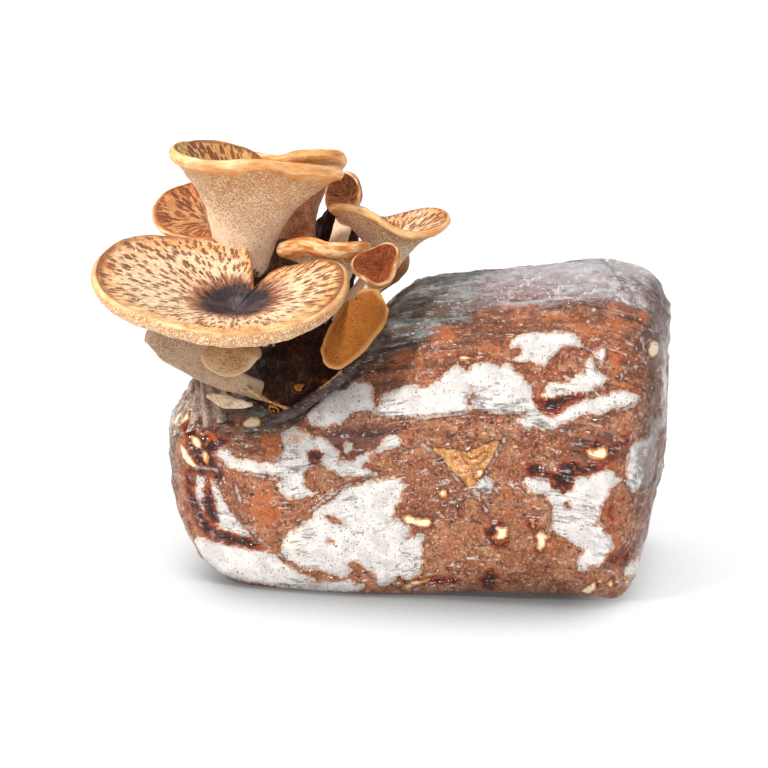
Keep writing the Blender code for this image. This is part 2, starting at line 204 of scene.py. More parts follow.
print("brown of a scale, linear:", [round(share, 3) for share in paint(107, 56, 36)[:3]])

# %% [markdown]
# The camera decides what the photograph's frame takes in. The view is a little from the right and a little
# from above, with a long lens, so that the block's lines hardly converge. The light is one soft sun from
# the upper left and an even pale sky. The floor is a sheet of white card that glows a little, as it does in
# a studio, and its glow fades under the block, which gives the soft contact shadow. A shadow from the light
# alone would be too faint on a card as bright as that.

# %% Camera, light and floor
CAMERA_PLACE = Vector((0.16071, -1.02892, 0.36591))
CAMERA_TARGET = Vector((-0.02463, 0.02219, 0.09979))
CAMERA_LENS = 85.94
SUN_WAY = Vector((-0.5, -0.45, 0.8))
SUN_STRENGTH, SUN_ANGLE, SUN_COLOUR = 3.1, 9, (1, 0.97, 0.92)
SKY_STRENGTH, SKY_COLOUR = 0.68, (0.93, 0.96, 1, 1)
CARD_GREY, CARD_GLOW, CARD_SIZE = 0.12, (1.3, 0.95), 20
SHADOW_REACH, SHADOW_SAMPLES = 0.13, 12
SHADOW_DEPTH, SHADOW_ENDS = (0.36, 0.85, 0.06, 1), (0.09, 0.15, 1, 0.3)


def looking(data, place, way):
    """Puts a camera or a light at a place, looking along a direction."""
    made = bpy.data.objects.new(data.name, data)
    made.location = place
    made.rotation_euler = way.to_track_quat("-Z", "Y").to_euler()
    bpy.context.scene.collection.objects.link(made)
    return made


def meshed(bm, name, material):
    """Turns a bmesh into an object with one material."""
    mesh = bpy.data.meshes.new(name)
    bm.to_mesh(mesh)
    bm.free()
    mesh.materials.append(material)
    made = bpy.data.objects.new(name, mesh)
    bpy.context.scene.collection.objects.link(made)
    return made


def card_finish():
    """White card that glows, less so in a soft shadow near the block."""
    net = Finish("white_card")
    aside = net.add("TexCoord", None, "Object").split()[0].absolute()
    near = net.add("AmbientOcclusion", {"Distance": SHADOW_REACH}, "AO", samples=SHADOW_SAMPLES)
    shadow = (1 - near.fade(*SHADOW_DEPTH)) * aside.fade(*SHADOW_ENDS)
    glow = net.add("LightPath", None, "Is Camera Ray").fade(0, 1, *CARD_GLOW)
    plain = {"Base Color": (CARD_GREY, CARD_GREY, CARD_GREY, 1), "Roughness": 0.9, "Specular IOR Level": 0}
    return net.dress({"Emission Color": 1 - shadow, "Emission Strength": glow, **plain})


camera = bpy.data.cameras.new("photo_camera")
camera.lens = CAMERA_LENS
bpy.context.scene.camera = looking(camera, CAMERA_PLACE, CAMERA_TARGET - CAMERA_PLACE)
sun = bpy.data.lights.new("soft_sun", "SUN")
sun.energy, sun.angle, sun.color = SUN_STRENGTH, radians(SUN_ANGLE), SUN_COLOUR
looking(sun, SUN_WAY, -SUN_WAY)
world = bpy.context.scene.world = bpy.data.worlds.new("pale_sky")
world.use_nodes = True
sky = world.node_tree.nodes["Background"].inputs
sky["Color"].default_value, sky["Strength"].default_value = SKY_COLOUR, SKY_STRENGTH
bpy.context.scene.view_settings.view_transform = "Standard"
card = bmesh.new()
bmesh.ops.create_grid(card, x_segments=1, y_segments=1, size=CARD_SIZE)
floor = meshed(card, "studio_floor", card_finish())
print("camera", camera.lens, "mm, sun", sun.energy, "sky", SKY_STRENGTH)

# %% [markdown]
# Every fine piece here is a tube: a cap is rings that run from its middle over the rim and down the
# stem, and the block is rings from end to end. A grid bent round into a tube gives that with one
# operator. Each row of the grid is placed on one ring, the last column is welded to the first, and a row
# whose points all lie together closes to a pole. Numbers that a finish needs later, such as how far a
# point is from the rim, are written on the points while their ring is known.

# %% A grid bent round into a tube
POLE_SIZE = 1e-6
CRUMPLE_SHARPNESS = 3.2


def smooth(t):
    """Runs from 0 to 1 with level ends."""
    t = min(max(t, 0), 1)
    return t * t * (3 - 2 * t)


def tube(rows, numbers=None):
    """A closed tube from rows of points, in millimetres. numbers holds, for each name, a value per point."""
    columns, wide = len(rows[0]), len(rows[0]) + 1
    bm = bmesh.new()

    def kind(values):
        return bm.verts.layers.float_vector if isinstance(values[0][0], Vector) else bm.verts.layers.float

    for name, values in (numbers or {}).items():
        kind(values).new(name)
    bmesh.ops.create_grid(bm, x_segments=columns, y_segments=len(rows) - 1, size=1)
    bm.verts.ensure_lookup_table()
    verts = list(bm.verts)
    layers = [(kind(values)[name], values) for name, values in (numbers or {}).items()]
    for r, row in enumerate(rows):
        for c in range(wide):
            vert = verts[r * wide + c]
            vert.co = row[c % columns]
            for layer, values in layers:
                vert[layer] = values[r][c % columns]
    weld = {verts[r * wide + columns]: verts[r * wide] for r in range(len(rows))}
    for r in (0, len(rows) - 1):
        if (rows[r][0] - rows[r][columns // 2]).length < POLE_SIZE:
            weld.update({verts[r * wide + c]: verts[r * wide] for c in range(1, wide)})
    bmesh.ops.weld_verts(bm, targetmap=weld)
    bmesh.ops.recalc_face_normals(bm, faces=bm.faces)
    bm.normal_update()
    return bm


def swell(bm, height):
    """Moves each point along its own normal by height(point), in millimetres."""
    moves = [(vert, vert.normal * height(vert.co)) for vert in bm.verts]
    for vert, move in moves:
        vert.co += move
    return bm


def grain(point, size, seed=0):
    """Smooth noise of about that size, from -1 to 1."""
    return noise.noise(point / size + Vector((seed, seed * 0.7, seed * 1.3)))


def crumple(point, size, seed=0):
    """Sharp folds of about that size, from 0 to 1: ridges where smooth noise passes through zero."""
    return 1 - min(1, abs(grain(point, size, seed)) * CRUMPLE_SHARPNESS)


def finish(bm, name, material, slot, *nodes):
    bmesh.ops.scale(bm, verts=bm.verts, vec=(MM, MM, MM))
    piece = meshed(bm, name, material)
    piece.data.shade_smooth()
    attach(piece, "root")
    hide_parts(*nodes)
    print(name, len(piece.data.polygons), "faces")

# %% [markdown]
# The block is a loaf with rounded corners. Its outline from the front is read between stations, the same
# ones that the plain solid has, and a section across it is a rounded rectangle whose front leans back
# above a crease. The fungus has swollen it here and there, so a slow noise pushes its skin in and out.

# %% The block's own surface
BLOCK_DEPTH, BASE_Z = 146, 1.2
CREASE_HEIGHT, FRONT_LEAN = 104, 0.5
POWER_LOW, POWER_TOP = ((-30, 13), (50, 5.5)), 3.2
BLOCK_LUMP, BLOCK_LUMP_SIZE, LUMP_FROM, LUMP_UP = 2.5, 1 / 0.021, 40, 0.6
BLOCK_ROWS, BLOCK_COLUMNS = 150, 320
BLOCK_ENDS = (0, 0.3, 0.6, 0.85)
BLOCK_STATIONS = np.array([
    (-138.5, 72, 90, 0.45), (-136, 60, 97.5, 0.66), (-131, 43, 102, 0.8), (-124, 26, 104.5, 0.9),
    (-114, 10, 105.5, 0.94), (-103, 2.5, 106, 0.965), (-86, -2, 107, 0.99), (-64, -2.5, 111, 1),
    (-48, -2.5, 120, 1), (-34, -2.5, 131, 1), (-21, -2.5, 147, 1), (-6, -2.5, 160, 1), (28, -2.5, 166, 1),
    (64, -2.5, 170.5, 1), (98, -2.5, 175.5, 0.98), (116, -2, 174.5, 0.95), (125, 2, 171.5, 0.92),
    (130, 18, 169, 0.89), (133, 37, 166.5, 0.84), (137.5, 57, 161, 0.74), (140, 78, 151, 0.5),
])
STATION_EASE = np.linspace(-4, 4, 9)


def station(x):
    """The block's underside, top and depth share at one X, with the stations' corners eased."""
    places, *facts = BLOCK_STATIONS.T
    span = np.clip(x + STATION_EASE, places[0], places[-1])
    return [float(np.interp(span, places, fact).mean()) for fact in facts]


def block_point(facts, x, turn, shrink=1):
    """The point of the block's skin at one X and one share of a turn round it, 0.5 at the front."""
    low, top, share = facts
    half_depth, middle, half_height = BLOCK_DEPTH / 2 * share, (low + top) / 2, (top - low) / 2
    across, up = cos(2 * pi * turn), sin(2 * pi * turn)
    (left, sharp), (right, blunt) = POWER_LOW
    power = sharp + (blunt - sharp) * smooth((x - left) / (right - left)) if up < 0 else POWER_TOP
    reach = (abs(across) ** power + abs(up) ** power) ** (-1 / power) * shrink
    y, z = across * reach * half_depth, middle + up * reach * half_height
    y += FRONT_LEAN * max(0, z - CREASE_HEIGHT) * smooth(0.5 - y / half_depth)
    lump = grain(Vector((x, y, z)), BLOCK_LUMP_SIZE) * BLOCK_LUMP * shrink
    y += lump if y > 0 else -lump
    z = max(z, 0) + BASE_Z if z < LUMP_FROM else z + lump * LUMP_UP + BASE_Z
    return Vector((x, y, z))


def block_rows():
    """Rings along the block, drawn in to a pole at both ends."""
    left, right = float(BLOCK_STATIONS[0, 0]), float(BLOCK_STATIONS[-1, 0])
    places = [(left, shrink) for shrink in BLOCK_ENDS]
    places += [(left + (right - left) * i / BLOCK_ROWS, 1) for i in range(BLOCK_ROWS + 1)]
    places += [(right, shrink) for shrink in BLOCK_ENDS[::-1]]
    turns = [(c + 0.5) / BLOCK_COLUMNS for c in range(BLOCK_COLUMNS)]
    rings = []
    for x, shrink in places:
        facts = station(x)
        rings.append([block_point(facts, x, turn, shrink) for turn in turns])
    return rings


BLOCK_RINGS = block_rows()
print("block rings:", len(BLOCK_RINGS), "of", BLOCK_COLUMNS, "points")

# %% [markdown]
# The block's colours are a map: white skins of fungus with torn edges, small cream bits, dark stains where the
# fungus wept, rusty spots, and dark washes that are partly dark film and partly painted shade from the caps. A map
# like this could be painted as an image, but outlines keep a sharp
# edge at any size. Each outline is a short walk round one mark, in the block's own two numbers: the place
# along the block in millimetres, and the thousandths of a turn round it, 500 being the front. The sides that
# the photograph hides get marks of the same kind from noise.

# %% The marks, as outlines on the block
WHITE_SKINS = """
-65,563 -63,557 -61,552 -56,546 -54,543 -49,538 -47,527 -43,525 -40,522 -34,517 -32,511 -31,508 -27,510 -19,513
-12,516 -2,518 3,519 6,526 3,532 3,540 0,547 -3,560 1,561 3,566 7,569 7,577 4,581 9,577 14,575 16,578 13,585
14,595 14,604 11,612 5,614 1,611 -3,615 -6,620 -9,622 -11,617 -13,611 -17,605 -21,599 -27,597 -29,599 -26,604
-29,609 -34,608 -40,604 -47,602 -54,600 -59,594 -64,589 -66,581 -66,571 /
-119,610 -115,596 -106,587 -96,581 -87,579 -77,581 -71,585 -66,591 -61,597 -60,601 -55,605 -49,608 -46,609
-47,613 -51,617 -42,615 -33,613 -27,611 -24,615 -19,618 -21,623 -34,630 -52,630 -66,625 -83,622 -100,630
-105,630 -111,627 -115,624 -119,621 /
-103,424 -97,426 -94,434 -91,437 -83,439 -79,442 -74,442 -69,442 -67,432 -65,426 -66,414 -67,404 -63,400 -59,400
-54,407 -51,415 -49,421 -44,426 -40,435 -37,446 -33,459 -33,469 -34,470 -26,479 -20,479 -13,481 -8,478 -7,472
-2,472 2,476 1,484 -4,485 -8,485 -12,486 -15,491 -19,492 -21,495 -14,505 -11,507 -11,513 -13,512 -22,506 -29,496
-33,492 -35,482 -39,476 -41,468 -44,462 -49,462 -53,465 -53,477 -54,483 -51,493 -47,504 -52,505 -57,504 -62,503
-65,494 -68,485 -69,477 -64,472 -65,464 -69,461 -75,461 -81,461 -89,456 -96,454 -99,447 -102,437 -105,435 /
-108,478 -103,488 -100,511 -96,526 -91,541 -86,552 -83,562 -89,565 -95,564 -101,566 -104,560 -105,535 -107,515
-108,499 /
-116,486 -110,476 -109,491 -111,520 -111,554 -114,546 -117,529 -117,506 /
-53,397 -53,391 -50,387 -46,387 -45,381 -41,378 -34,388 -30,394 -29,389 -24,398 -18,408 -15,418 -13,428 -10,427
-3,430 1,427 7,426 10,428 16,429 19,425 24,419 27,416 30,411 32,416 37,419 38,413 41,412 44,412 48,414 53,416
60,415 62,421 67,425 69,431 72,435 73,442 76,450 80,458 85,459 87,463 88,468 86,473 81,472 75,469 70,470 66,466
64,461 67,458 69,455 62,456 51,454 43,451 39,452 24,455 12,455 9,453 3,454 -3,453 -8,448 -11,444 -17,436 -21,432
-27,421 -27,425 -31,426 -34,426 -40,421 -47,413 -51,405 /
58,396 62,391 68,390 76,390 81,391 87,392 93,394 94,399 98,402 99,405 95,406 93,404 89,403 86,405 85,409 81,412
79,417 77,418 72,416 69,412 65,414 62,413 60,409 64,407 65,403 63,400 59,402 /
77,442 79,437 81,431 89,432 94,429 99,425 100,418 103,413 105,418 107,425 114,430 111,435 106,437 107,443
104,440 101,444 94,445 86,447 82,449 79,447 /
103,412 106,407 108,405 110,407 111,413 110,420 108,420 107,415 /
84,461 89,458 91,454 96,451 102,448 107,446 116,440 123,439 128,448 135,468 130,457 124,453 117,454 111,459
107,461 102,460 97,463 93,466 87,467 /
69,527 71,519 77,519 81,517 83,520 84,527 86,531 92,534 96,531 96,524 98,520 104,520 108,516 113,512 117,514
119,521 123,526 117,531 115,540 113,549 111,558 109,563 114,566 116,574 118,577 119,587 116,593 114,599 109,602
104,607 100,605 100,593 103,585 98,583 92,579 87,572 85,565 85,556 86,549 82,543 81,537 74,536 /
127,495 129,495 133,511 138,542 138,572 137,574 138,609 138,615 137,621 132,566 131,565 128,550 124,531 124,521
125,502 /
124,616 125,609 128,620 130,649 128,658 127,655 125,655 127,642 /
42,529 45,523 47,519 50,519 54,524 53,530 52,536 48,535 46,533 /
132,487 136,501 140,534 141,527 141,568 139,583 136,573 127,514 128,500 131,507 137,545 136,517 /
-9,474 -4,471 0,473 1,478 1,484 -4,486 -9,482 /
-31,452 -28,453 -25,461 -26,466 -28,471 -30,462 /
"""
SKIN_HOLES = """
-41,540 -37,541 -32,551 -29,558 -32,559 -36,552 -40,545 /
-40,568 -38,570 -37,574 -40,573 /
-51,441 -47,442 -43,450 -44,459 -46,460 -49,454 /
37,440 39,439 40,446 38,447 /
39,431 41,435 42,442 40,440 /
92,546 94,545 95,552 92,550 /
-16,419 -11,426 -10,435 -13,437 -14,427 /
"""
CREAM_BITS = """
2,560 7,558 10,561 19,562 18,568 13,569 9,566 4,565 /
0,623 8,616 18,614 15,618 8,620 4,624 /
101,631 106,621 110,615 110,624 106,635 /
116,619 119,612 119,625 117,624 /
124,626 127,643 125,652 /
77,586 78,580 76,574 78,573 80,574 79,571 81,570 81,575 85,574 85,576 82,579 82,582 80,590 /
87,575 90,577 94,579 93,580 89,578 /
103,495 106,492 107,495 110,491 113,489 114,498 112,502 105,501 /
23,536 25,532 27,534 27,539 24,540 /
42,518 45,511 48,512 47,517 44,522 /
73,561 76,560 75,565 76,568 74,569 74,565 /
55,568 59,569 61,567 61,576 57,580 53,577 56,575 /
36,496 40,501 43,500 47,494 50,493 46,502 42,505 38,503 /
-133,419 -131,391 -125,377 -122,389 -126,404 -130,418 /
-120,419 -115,417 -113,428 -115,436 -118,431 /
-127,447 -123,449 -119,461 -114,469 -117,475 -121,476 -125,470 /
-112,434 -109,438 -109,457 -111,452 /
30,407 35,406 38,409 33,410 /
133,404 134,401 137,406 137,421 134,419 133,411 /
-91,387 -88,379 -83,377 -80,383 -80,391 -85,393 -89,391 /
"""
DARK_STAINS = """
70,509 75,506 80,509 82,514 85,516 90,507 97,505 102,512 98,519 96,524 96,531 92,534 86,531 84,520 77,518 72,517
/
102,495 106,489 108,484 113,487 119,488 122,480 126,480 127,479 126,488 121,494 117,502 114,510 108,515 103,519
99,515 102,510 108,508 114,502 114,494 109,492 106,498 /
49,572 52,568 56,562 59,562 57,567 54,574 55,580 61,578 63,581 59,586 53,585 50,580 /
46,615 49,608 54,607 56,613 55,624 52,635 47,629 /
124,546 120,547 117,554 119,564 116,572 115,571 118,564 115,554 119,545 /
115,597 118,592 123,594 128,604 133,621 129,618 123,599 118,600 /
-126,406 -118,402 -114,413 -108,406 -103,407 -97,412 -98,419 -103,426 -106,436 -103,449 -99,462 -100,475
-104,483 -106,470 -108,462 -111,463 -109,470 -113,478 -116,481 -118,480 -120,501 -117,506 -119,522 -124,533
-123,505 -120,481 -117,462 -118,450 -122,439 -121,424 -126,417 /
-124,533 -119,520 -116,542 -113,554 -111,558 -109,566 -103,565 -94,565 -85,565 -80,567 -76,576 -80,579 -89,577
-98,580 -106,582 -113,584 -116,583 -118,571 -121,558 /
-110,478 -108,489 -106,517 -103,550 -106,556 -110,552 -112,529 /
-140,351 -135,329 -135,295 -135,304 -133,351 -137,385 -136,424 -140,427 /
73,445 79,446 89,443 95,445 101,444 90,452 85,458 80,457 /
18,613 27,613 35,617 31,620 19,618 /
-51,441 -47,442 -43,450 -44,459 -46,460 -49,454 /
76,588 79,583 80,590 77,592 /
72,560 74,558 77,560 77,569 74,571 72,567 /
"""
# Dark washes: partly dark film round the clump, and partly painted shade that the caps cast on the block.
DARK_FILM_AND_SHADE = """
-50,412 -40,428 -26,441 -14,454 -2,460 2,470 -7,472 -10,478 -20,478 -27,473 -33,462 -37,445 -41,430 /
-110,343 -90,360 -67,369 -59,369 -48,357 -37,370 -30,388 -32,391 -41,378 -47,380 -53,389 -52,401 -65,400 -80,401
-95,399 -103,390 -107,373 /
-15,355 -1,371 19,381 15,393 8,402 4,414 3,424 -9,426 /
93,486 115,476 126,487 127,502 116,506 104,507 97,500 /
124,585 132,649 129,618 119,600 109,606 118,592 /
9,555 19,557 18,564 11,562 /
"""
RUSTY_SPOTS = """
102,512 108,506 115,502 118,506 117,514 109,516 104,519 /
45,381 46,374 54,367 65,366 70,372 70,378 61,376 53,380 48,384 /
109,369 114,364 120,358 122,364 121,375 114,376 /
-64,405 -59,403 -52,412 -52,420 -56,424 -61,422 -64,419 /
-17,414 -13,422 -10,429 -10,437 -13,436 -15,425 /
-94,569 -87,567 -80,570 -78,575 -84,575 -92,576 /
-84,494 -75,478 -69,494 -65,519 -71,544 -80,545 -84,525 /
118,567 122,572 123,587 121,591 118,582 /
114,410 117,412 118,424 115,431 114,425 /
60,553 62,551 63,556 61,560 60,558 /
"""
OCHRE_FLOORS = """
14,483 23,487 31,488 38,491 45,486 52,480 58,480 54,496 50,510 48,517 45,524 42,532 38,530 34,521 28,511 24,499
18,489 /
21,421 25,413 31,410 33,415 27,416 24,422 /
"""
FILM_CREASES = """
-118,474 -99,459 -79,463 -65,470 /
-93,478 -89,514 -85,549 -77,570 -65,588 /
-103,489 -97,461 -104,447 /
10,477 24,499 35,526 43,534 50,555 /
59,478 52,504 48,518 56,536 /
-7,451 14,455 43,453 66,456 87,474 107,466 127,455 140,479 /
-15,351 4,369 32,375 46,365 69,367 90,369 108,366 120,333 /
101,195 112,311 120,344 126,369 130,393 125,411 119,430 106,440 /
115,300 126,325 133,364 131,404 126,424 /
-57,539 -43,518 -33,508 -14,509 /
124,527 130,576 128,595 119,597 /
25,549 44,536 52,528 /
"""


def walks(text):
    """The outlines of one table, each as its X places and shares of a turn."""
    outlines = [[pair.split(",") for pair in outline.split()] for outline in text.split("/")]
    return [[(float(x), float(turn) / 1000) for x, turn in pairs] for pairs in outlines if pairs]


BLOCK_GRID = np.array([[tuple(point) for point in ring] for ring in BLOCK_RINGS])
GRID_X = BLOCK_GRID[:, :, 0]
GRID_TURN = np.tile((np.arange(BLOCK_COLUMNS) + 0.5) / BLOCK_COLUMNS, (len(BLOCK_RINGS), 1))
print("marks:", len(walks(WHITE_SKINS)), "white skins,", len(walks(CREAM_BITS)), "cream bits")

# %% [markdown]
# A finish can't walk round an outline, so each point of the block is told how many millimetres it is inside
# the nearest mark of each kind, or outside it as a minus. The finish adds fine noise to that distance and
# cuts it at zero, which tears the edge at a scale far below the mesh.

# %% Distances to the marks
FAR = 14.0
TINY = 1e-9
BACK_TURN, UNDER_TURN, HIDDEN_FADE = 0.25, 0.67, 0.05
# The grey veil on the top is a painted reflection of the pale sky in the film, which stands off the block there;
# these numbers bound it, in turns and millimetres.
REFLECTION_TURN, REFLECTION_FRONT, REFLECTION_BACK, REFLECTION_RIGHT = 0.366, 0.425, 0.13, 133
REFLECTION_DROP, REFLECTION_LEFT, REFLECTION_DROP_LENGTH = 0.034, 44, 50
MM_PER_TURN = 420


def distance_to(points, path, closed):
    """The distance from each point to a path of straight steps."""
    start = path if closed else path[:-1]
    step = (np.roll(path, -1, 0) if closed else path[1:]) - start
    away = points[:, None, :] - start[None]
    share = np.clip((away * step).sum(2) / np.maximum((step * step).sum(1), TINY), 0, 1)
    return np.sqrt(((away - share[:, :, None] * step) ** 2).sum(2)).min(1)


def inside(x, turn, walk):
    """True for each place that lies inside a closed walk."""
    found = np.zeros(len(x), bool)
    for (x1, t1), (x2, t2) in zip(walk, walk[1:] + walk[:1]):
        crosses = (t1 > turn) != (t2 > turn)
        found ^= crosses & (x < (x2 - x1) * (turn - t1) / ((t2 - t1) or TINY) + x1)
    return found


def mark_distance(text, closed=True):
    """For every point of the block: millimetres inside the nearest outline, or outside it as a minus."""
    result = np.full(GRID_X.shape, -FAR)
    for walk in walks(text):
        path = np.array([tuple(block_point(station(x), x, turn)) for x, turn in walk])
        low, high = path.min(0) - FAR, path.max(0) + FAR
        near = ((BLOCK_GRID > low) & (BLOCK_GRID < high)).all(2)
        gap = -distance_to(BLOCK_GRID[near], path, closed)
        if closed:
            gap = np.where(inside(GRID_X[near], GRID_TURN[near], walk), -gap, gap)
        result[near] = np.maximum(result[near], gap)
    return result


def hidden_marks(size, cover, seed):
    """Noise that stands for a distance, for the sides that the photograph hides."""
    flat = [Vector(point) for point in BLOCK_GRID.reshape(-1, 3)]
    values = [grain(point, size, seed) + 0.45 * grain(point, size / 3, seed + 5) - cover for point in flat]
    return np.array(values).reshape(GRID_X.shape) * size * 0.6


def with_hidden(text, *noise_settings):
    """The marks of one table, with noise for them on the hidden sides."""
    return np.maximum(mark_distance(text), np.where(HIDDEN > 0.5, hidden_marks(*noise_settings), -FAR))


HIDDEN = np.clip((BACK_TURN - GRID_TURN) / HIDDEN_FADE, 0, 1)
HIDDEN += np.clip((GRID_TURN - UNDER_TURN) / HIDDEN_FADE, 0, 1)
white = np.minimum(mark_distance(WHITE_SKINS), -mark_distance(SKIN_HOLES))
reflection_edge = REFLECTION_TURN + REFLECTION_DROP * np.clip((REFLECTION_LEFT - GRID_X) / REFLECTION_DROP_LENGTH, 0, 1)
upper = np.minimum(reflection_edge - GRID_TURN, GRID_TURN - REFLECTION_BACK) * MM_PER_TURN
MARKS = {
    "white": white + (hidden_marks(48, 0.12, 3) - white) * HIDDEN,
    "cream": with_hidden(CREAM_BITS, 11, 0.62, 9),
    "stain": with_hidden(DARK_STAINS, 26, 0.55, 14),
    "wash": mark_distance(DARK_FILM_AND_SHADE),
    "rust": with_hidden(RUSTY_SPOTS, 30, 0.5, 21),
    "ochre": mark_distance(OCHRE_FLOORS),
    "crease": mark_distance(FILM_CREASES, closed=False),
    "haze": np.maximum(upper, np.minimum(GRID_X - REFLECTION_RIGHT, (REFLECTION_FRONT - GRID_TURN) * MM_PER_TURN)),
}
print("white skins cover", round(float((MARKS["white"] > 0).mean()), 2), "of the block")

# %% [markdown]
# Each cap is a dish with a rounded lip, and a stem that curves down to the shared clump. On the real fungus
# the dish, the lip, the pored underside and the stem are one piece of flesh, so they are one tube here:
# from the middle of the dish out to the lip, round it, back along the underside, and down the stem.

# %% One fruit body as a tube
ZONE_LIP, ZONE_UNDER, ZONE_STEM = 1, 2, 3
GRAIN_STRETCH, GRAIN_START = 3, 0.42
NECK_ZONES, NECK_SMOOTHING = (2.45, 3.6), 40
NECK_CURVE = 1.6
LIP_ROWS, LIP_BULGE = 9, 0.42
COLUMNS_LEAST, COLUMNS_MOST = 90, 300


def hump(angle, way, half_width):
    """1 in one direction round a cap, falling off to both sides. way and half_width are in degrees."""
    off = (angle - radians(way) + pi) % (2 * pi) - pi
    return exp(-((off / radians(half_width)) ** 2))


class Fruit:
    """The driving sizes of one fruit body, in millimetres and degrees, as its plain solid has them."""

    lean_front, lean_right, bowl, bowl_shift, bowl_power = 0, 0, 12, (0, 0), 1
    neck, neck_depth, lip, taper, bend = 0.3, 10, 6, 1.15, (0.4, 0.4)
    notch, waves, swells, bumps, fine, foot_way = (), (), (), (), 1, (0, 0, -1)

    def __init__(self, name, centre, reach, foot, foot_radius, **more):
        vars(self).update(more)
        self.name, self.centre, self.reach = name, Vector(centre), reach
        self.foot, self.foot_radius = Vector(foot), foot_radius
        self.foot_way = Vector(self.foot_way).normalized()
        self.mean_reach = sum(reach) / 4

    def axes(self):
        """The margin plane's right, back and up directions."""
        front, right = radians(self.lean_front), radians(self.lean_right)
        up = Vector((sin(right), -sin(front), cos(front) * cos(right))).normalized()
        along = Vector((1, 0, 0))
        along = (along - up * along.dot(up)).normalized()
        return along, up.cross(along), up

    def full_radius(self, angle):
        """The cap's radius in one direction, before its notches."""
        right, back, left, front = self.reach
        across, deep = cos(angle), sin(angle)
        size = 1 / hypot(across / (right if across > 0 else left), deep / (back if deep > 0 else front))
        for share, count, phase in self.swells:
            size *= 1 + share * cos(count * angle + radians(phase))
        return size

    def margin_radius(self, angle):
        """The radius of the margin, with its notches."""
        size = self.full_radius(angle)
        for way, half_width, share in self.notch:
            size *= 1 - share * hump(angle, way, half_width)
        return size

    def margin_lift(self, angle):
        """How far the margin stands above its plane."""
        lift = sum(height * cos(count * angle + radians(phase)) for height, count, phase in self.waves)
        for way, half_width, height in self.bumps:
            lift += height * hump(angle, way, half_width)
        return lift

    def dish_point(self, facts, share):
        """A point of the upper face: share runs from 0 in the middle to 1 at the margin."""
        (along, back, up), angle, full, margin, lift = facts
        out = margin * share
        height = -self.bowl * (1 - (out / full) ** self.bowl_power) + lift * (out / full) ** 2
        x = cos(angle) * out + self.bowl_shift[0] * (1 - share)
        y = sin(angle) * out + self.bowl_shift[1] * (1 - share)
        return self.centre + along * x + back * y + up * height

    def thickness(self, share):
        """The flesh between the two faces, thicker towards the neck."""
        rise = (1 - share) / (1 - self.neck)
        return self.lip + (self.neck_depth - self.lip) * rise**NECK_CURVE

    def stem(self, neck, turns, count):
        """Rings down the stem: the neck's shape turns into the round foot."""
        along, _, up = self.axes()
        middle = sum(neck, Vector()) / len(neck)
        span = (self.foot - middle).length
        first = middle - up * span * self.bend[0]
        last = self.foot - self.foot_way * span * self.bend[1]
        side = (along - self.foot_way * along.dot(self.foot_way)).normalized()
        deep = side.cross(self.foot_way)
        ends = [(side * cos(a) + deep * sin(a)) * self.foot_radius for a in turns]
        rings = []
        for i in range(1, count + 1):
            t = i / count
            place = middle * (1 - t) ** 3 + first * 3 * t * (1 - t) ** 2
            place += last * 3 * t * t * (1 - t) + self.foot * t**3
            turned = smooth(t * self.taper)
            rings.append([place + (p - middle) * (1 - turned) + e * turned for p, e in zip(neck, ends)])
        return rings

    def rows(self):
        """All rings, with each ring's zone, and the facts about each direction."""
        along, back, up = axes = self.axes()
        size = self.mean_reach
        columns = int(min(COLUMNS_MOST, max(COLUMNS_LEAST, size * 5.2 * self.fine)))
        turns = [2 * pi * i / columns for i in range(columns)]
        facts = [(axes, a, self.full_radius(a), self.margin_radius(a), self.margin_lift(a)) for a in turns]
        top, under = max(12, int(size * 0.75 * self.fine)), max(10, int(size * 0.6 * self.fine))
        stem = int(18 * self.fine)
        rows, zones = [[self.dish_point(facts[0], TINY)] * columns], [0]
        for i in range(1, top + 1):
            rows.append([self.dish_point(f, i / top) for f in facts])
            zones.append(i / top)
        for i in range(1, LIP_ROWS):
            turn = pi * i / LIP_ROWS
            out = [(along * cos(a) + back * sin(a)) * self.lip * LIP_BULGE * sin(turn) for a in turns]
            drop = up * self.lip * 0.5 * (1 - cos(turn))
            rows.append([self.dish_point(f, 1) + way - drop for f, way in zip(facts, out)])
            zones.append(ZONE_LIP + i / LIP_ROWS)
        for i in range(under + 1):
            share = 1 - (1 - self.neck) * i / under
            rows.append([self.dish_point(f, share) - up * self.thickness(share) for f in facts])
            zones.append(ZONE_UNDER + 0.999 * i / under)
        rows += self.stem(rows[-1], turns, stem)
        zones += [ZONE_STEM + (i + 1) / stem for i in range(stem)]
        self.smooth_neck(rows, zones)
        rows.append([sum(rows[-1], Vector()) / columns] * columns)
        zones.append(ZONE_STEM + 1)
        return rows, zones, turns, facts

    def smooth_neck(self, rows, zones):
        """Rounds the turn from the underside to the stem by averaging each point with its neighbours."""
        picked = [i for i, zone in enumerate(zones) if NECK_ZONES[0] < zone < NECK_ZONES[1]]
        first, last = picked[0] - 1, picked[-1] + 1
        table = np.array(rows[first : last + 1])
        for _ in range(int(NECK_SMOOTHING * self.fine**2)):
            table[1:-1] = (table[:-2] + 2 * table[1:-1] + table[2:]) / 4
        for i in range(1, last - first):
            rows[first + i] = [Vector(point) for point in table[i]]

    def numbers(self, zones, turns, facts):
        """What the finish needs: the zone, the way in from the rim, and the grain, which is stretched out."""
        numbers = {"zone": [], "inset": [], "grain": []}
        for zone in zones:
            back_in = 1 - (1 - self.neck) * min(1, max(0, zone - ZONE_UNDER))
            share = zone if zone <= ZONE_LIP else back_in
            reach = [f[3] * share / GRAIN_STRETCH + self.mean_reach * GRAIN_START for f in facts]
            numbers["zone"].append([zone] * len(turns))
            numbers["inset"].append([f[3] * (1 - share) for f in facts])
            line = [Vector((cos(a) * r, sin(a) * r, zone * 10)) for a, r in zip(turns, reach)]
            numbers["grain"].append(line)
        return numbers


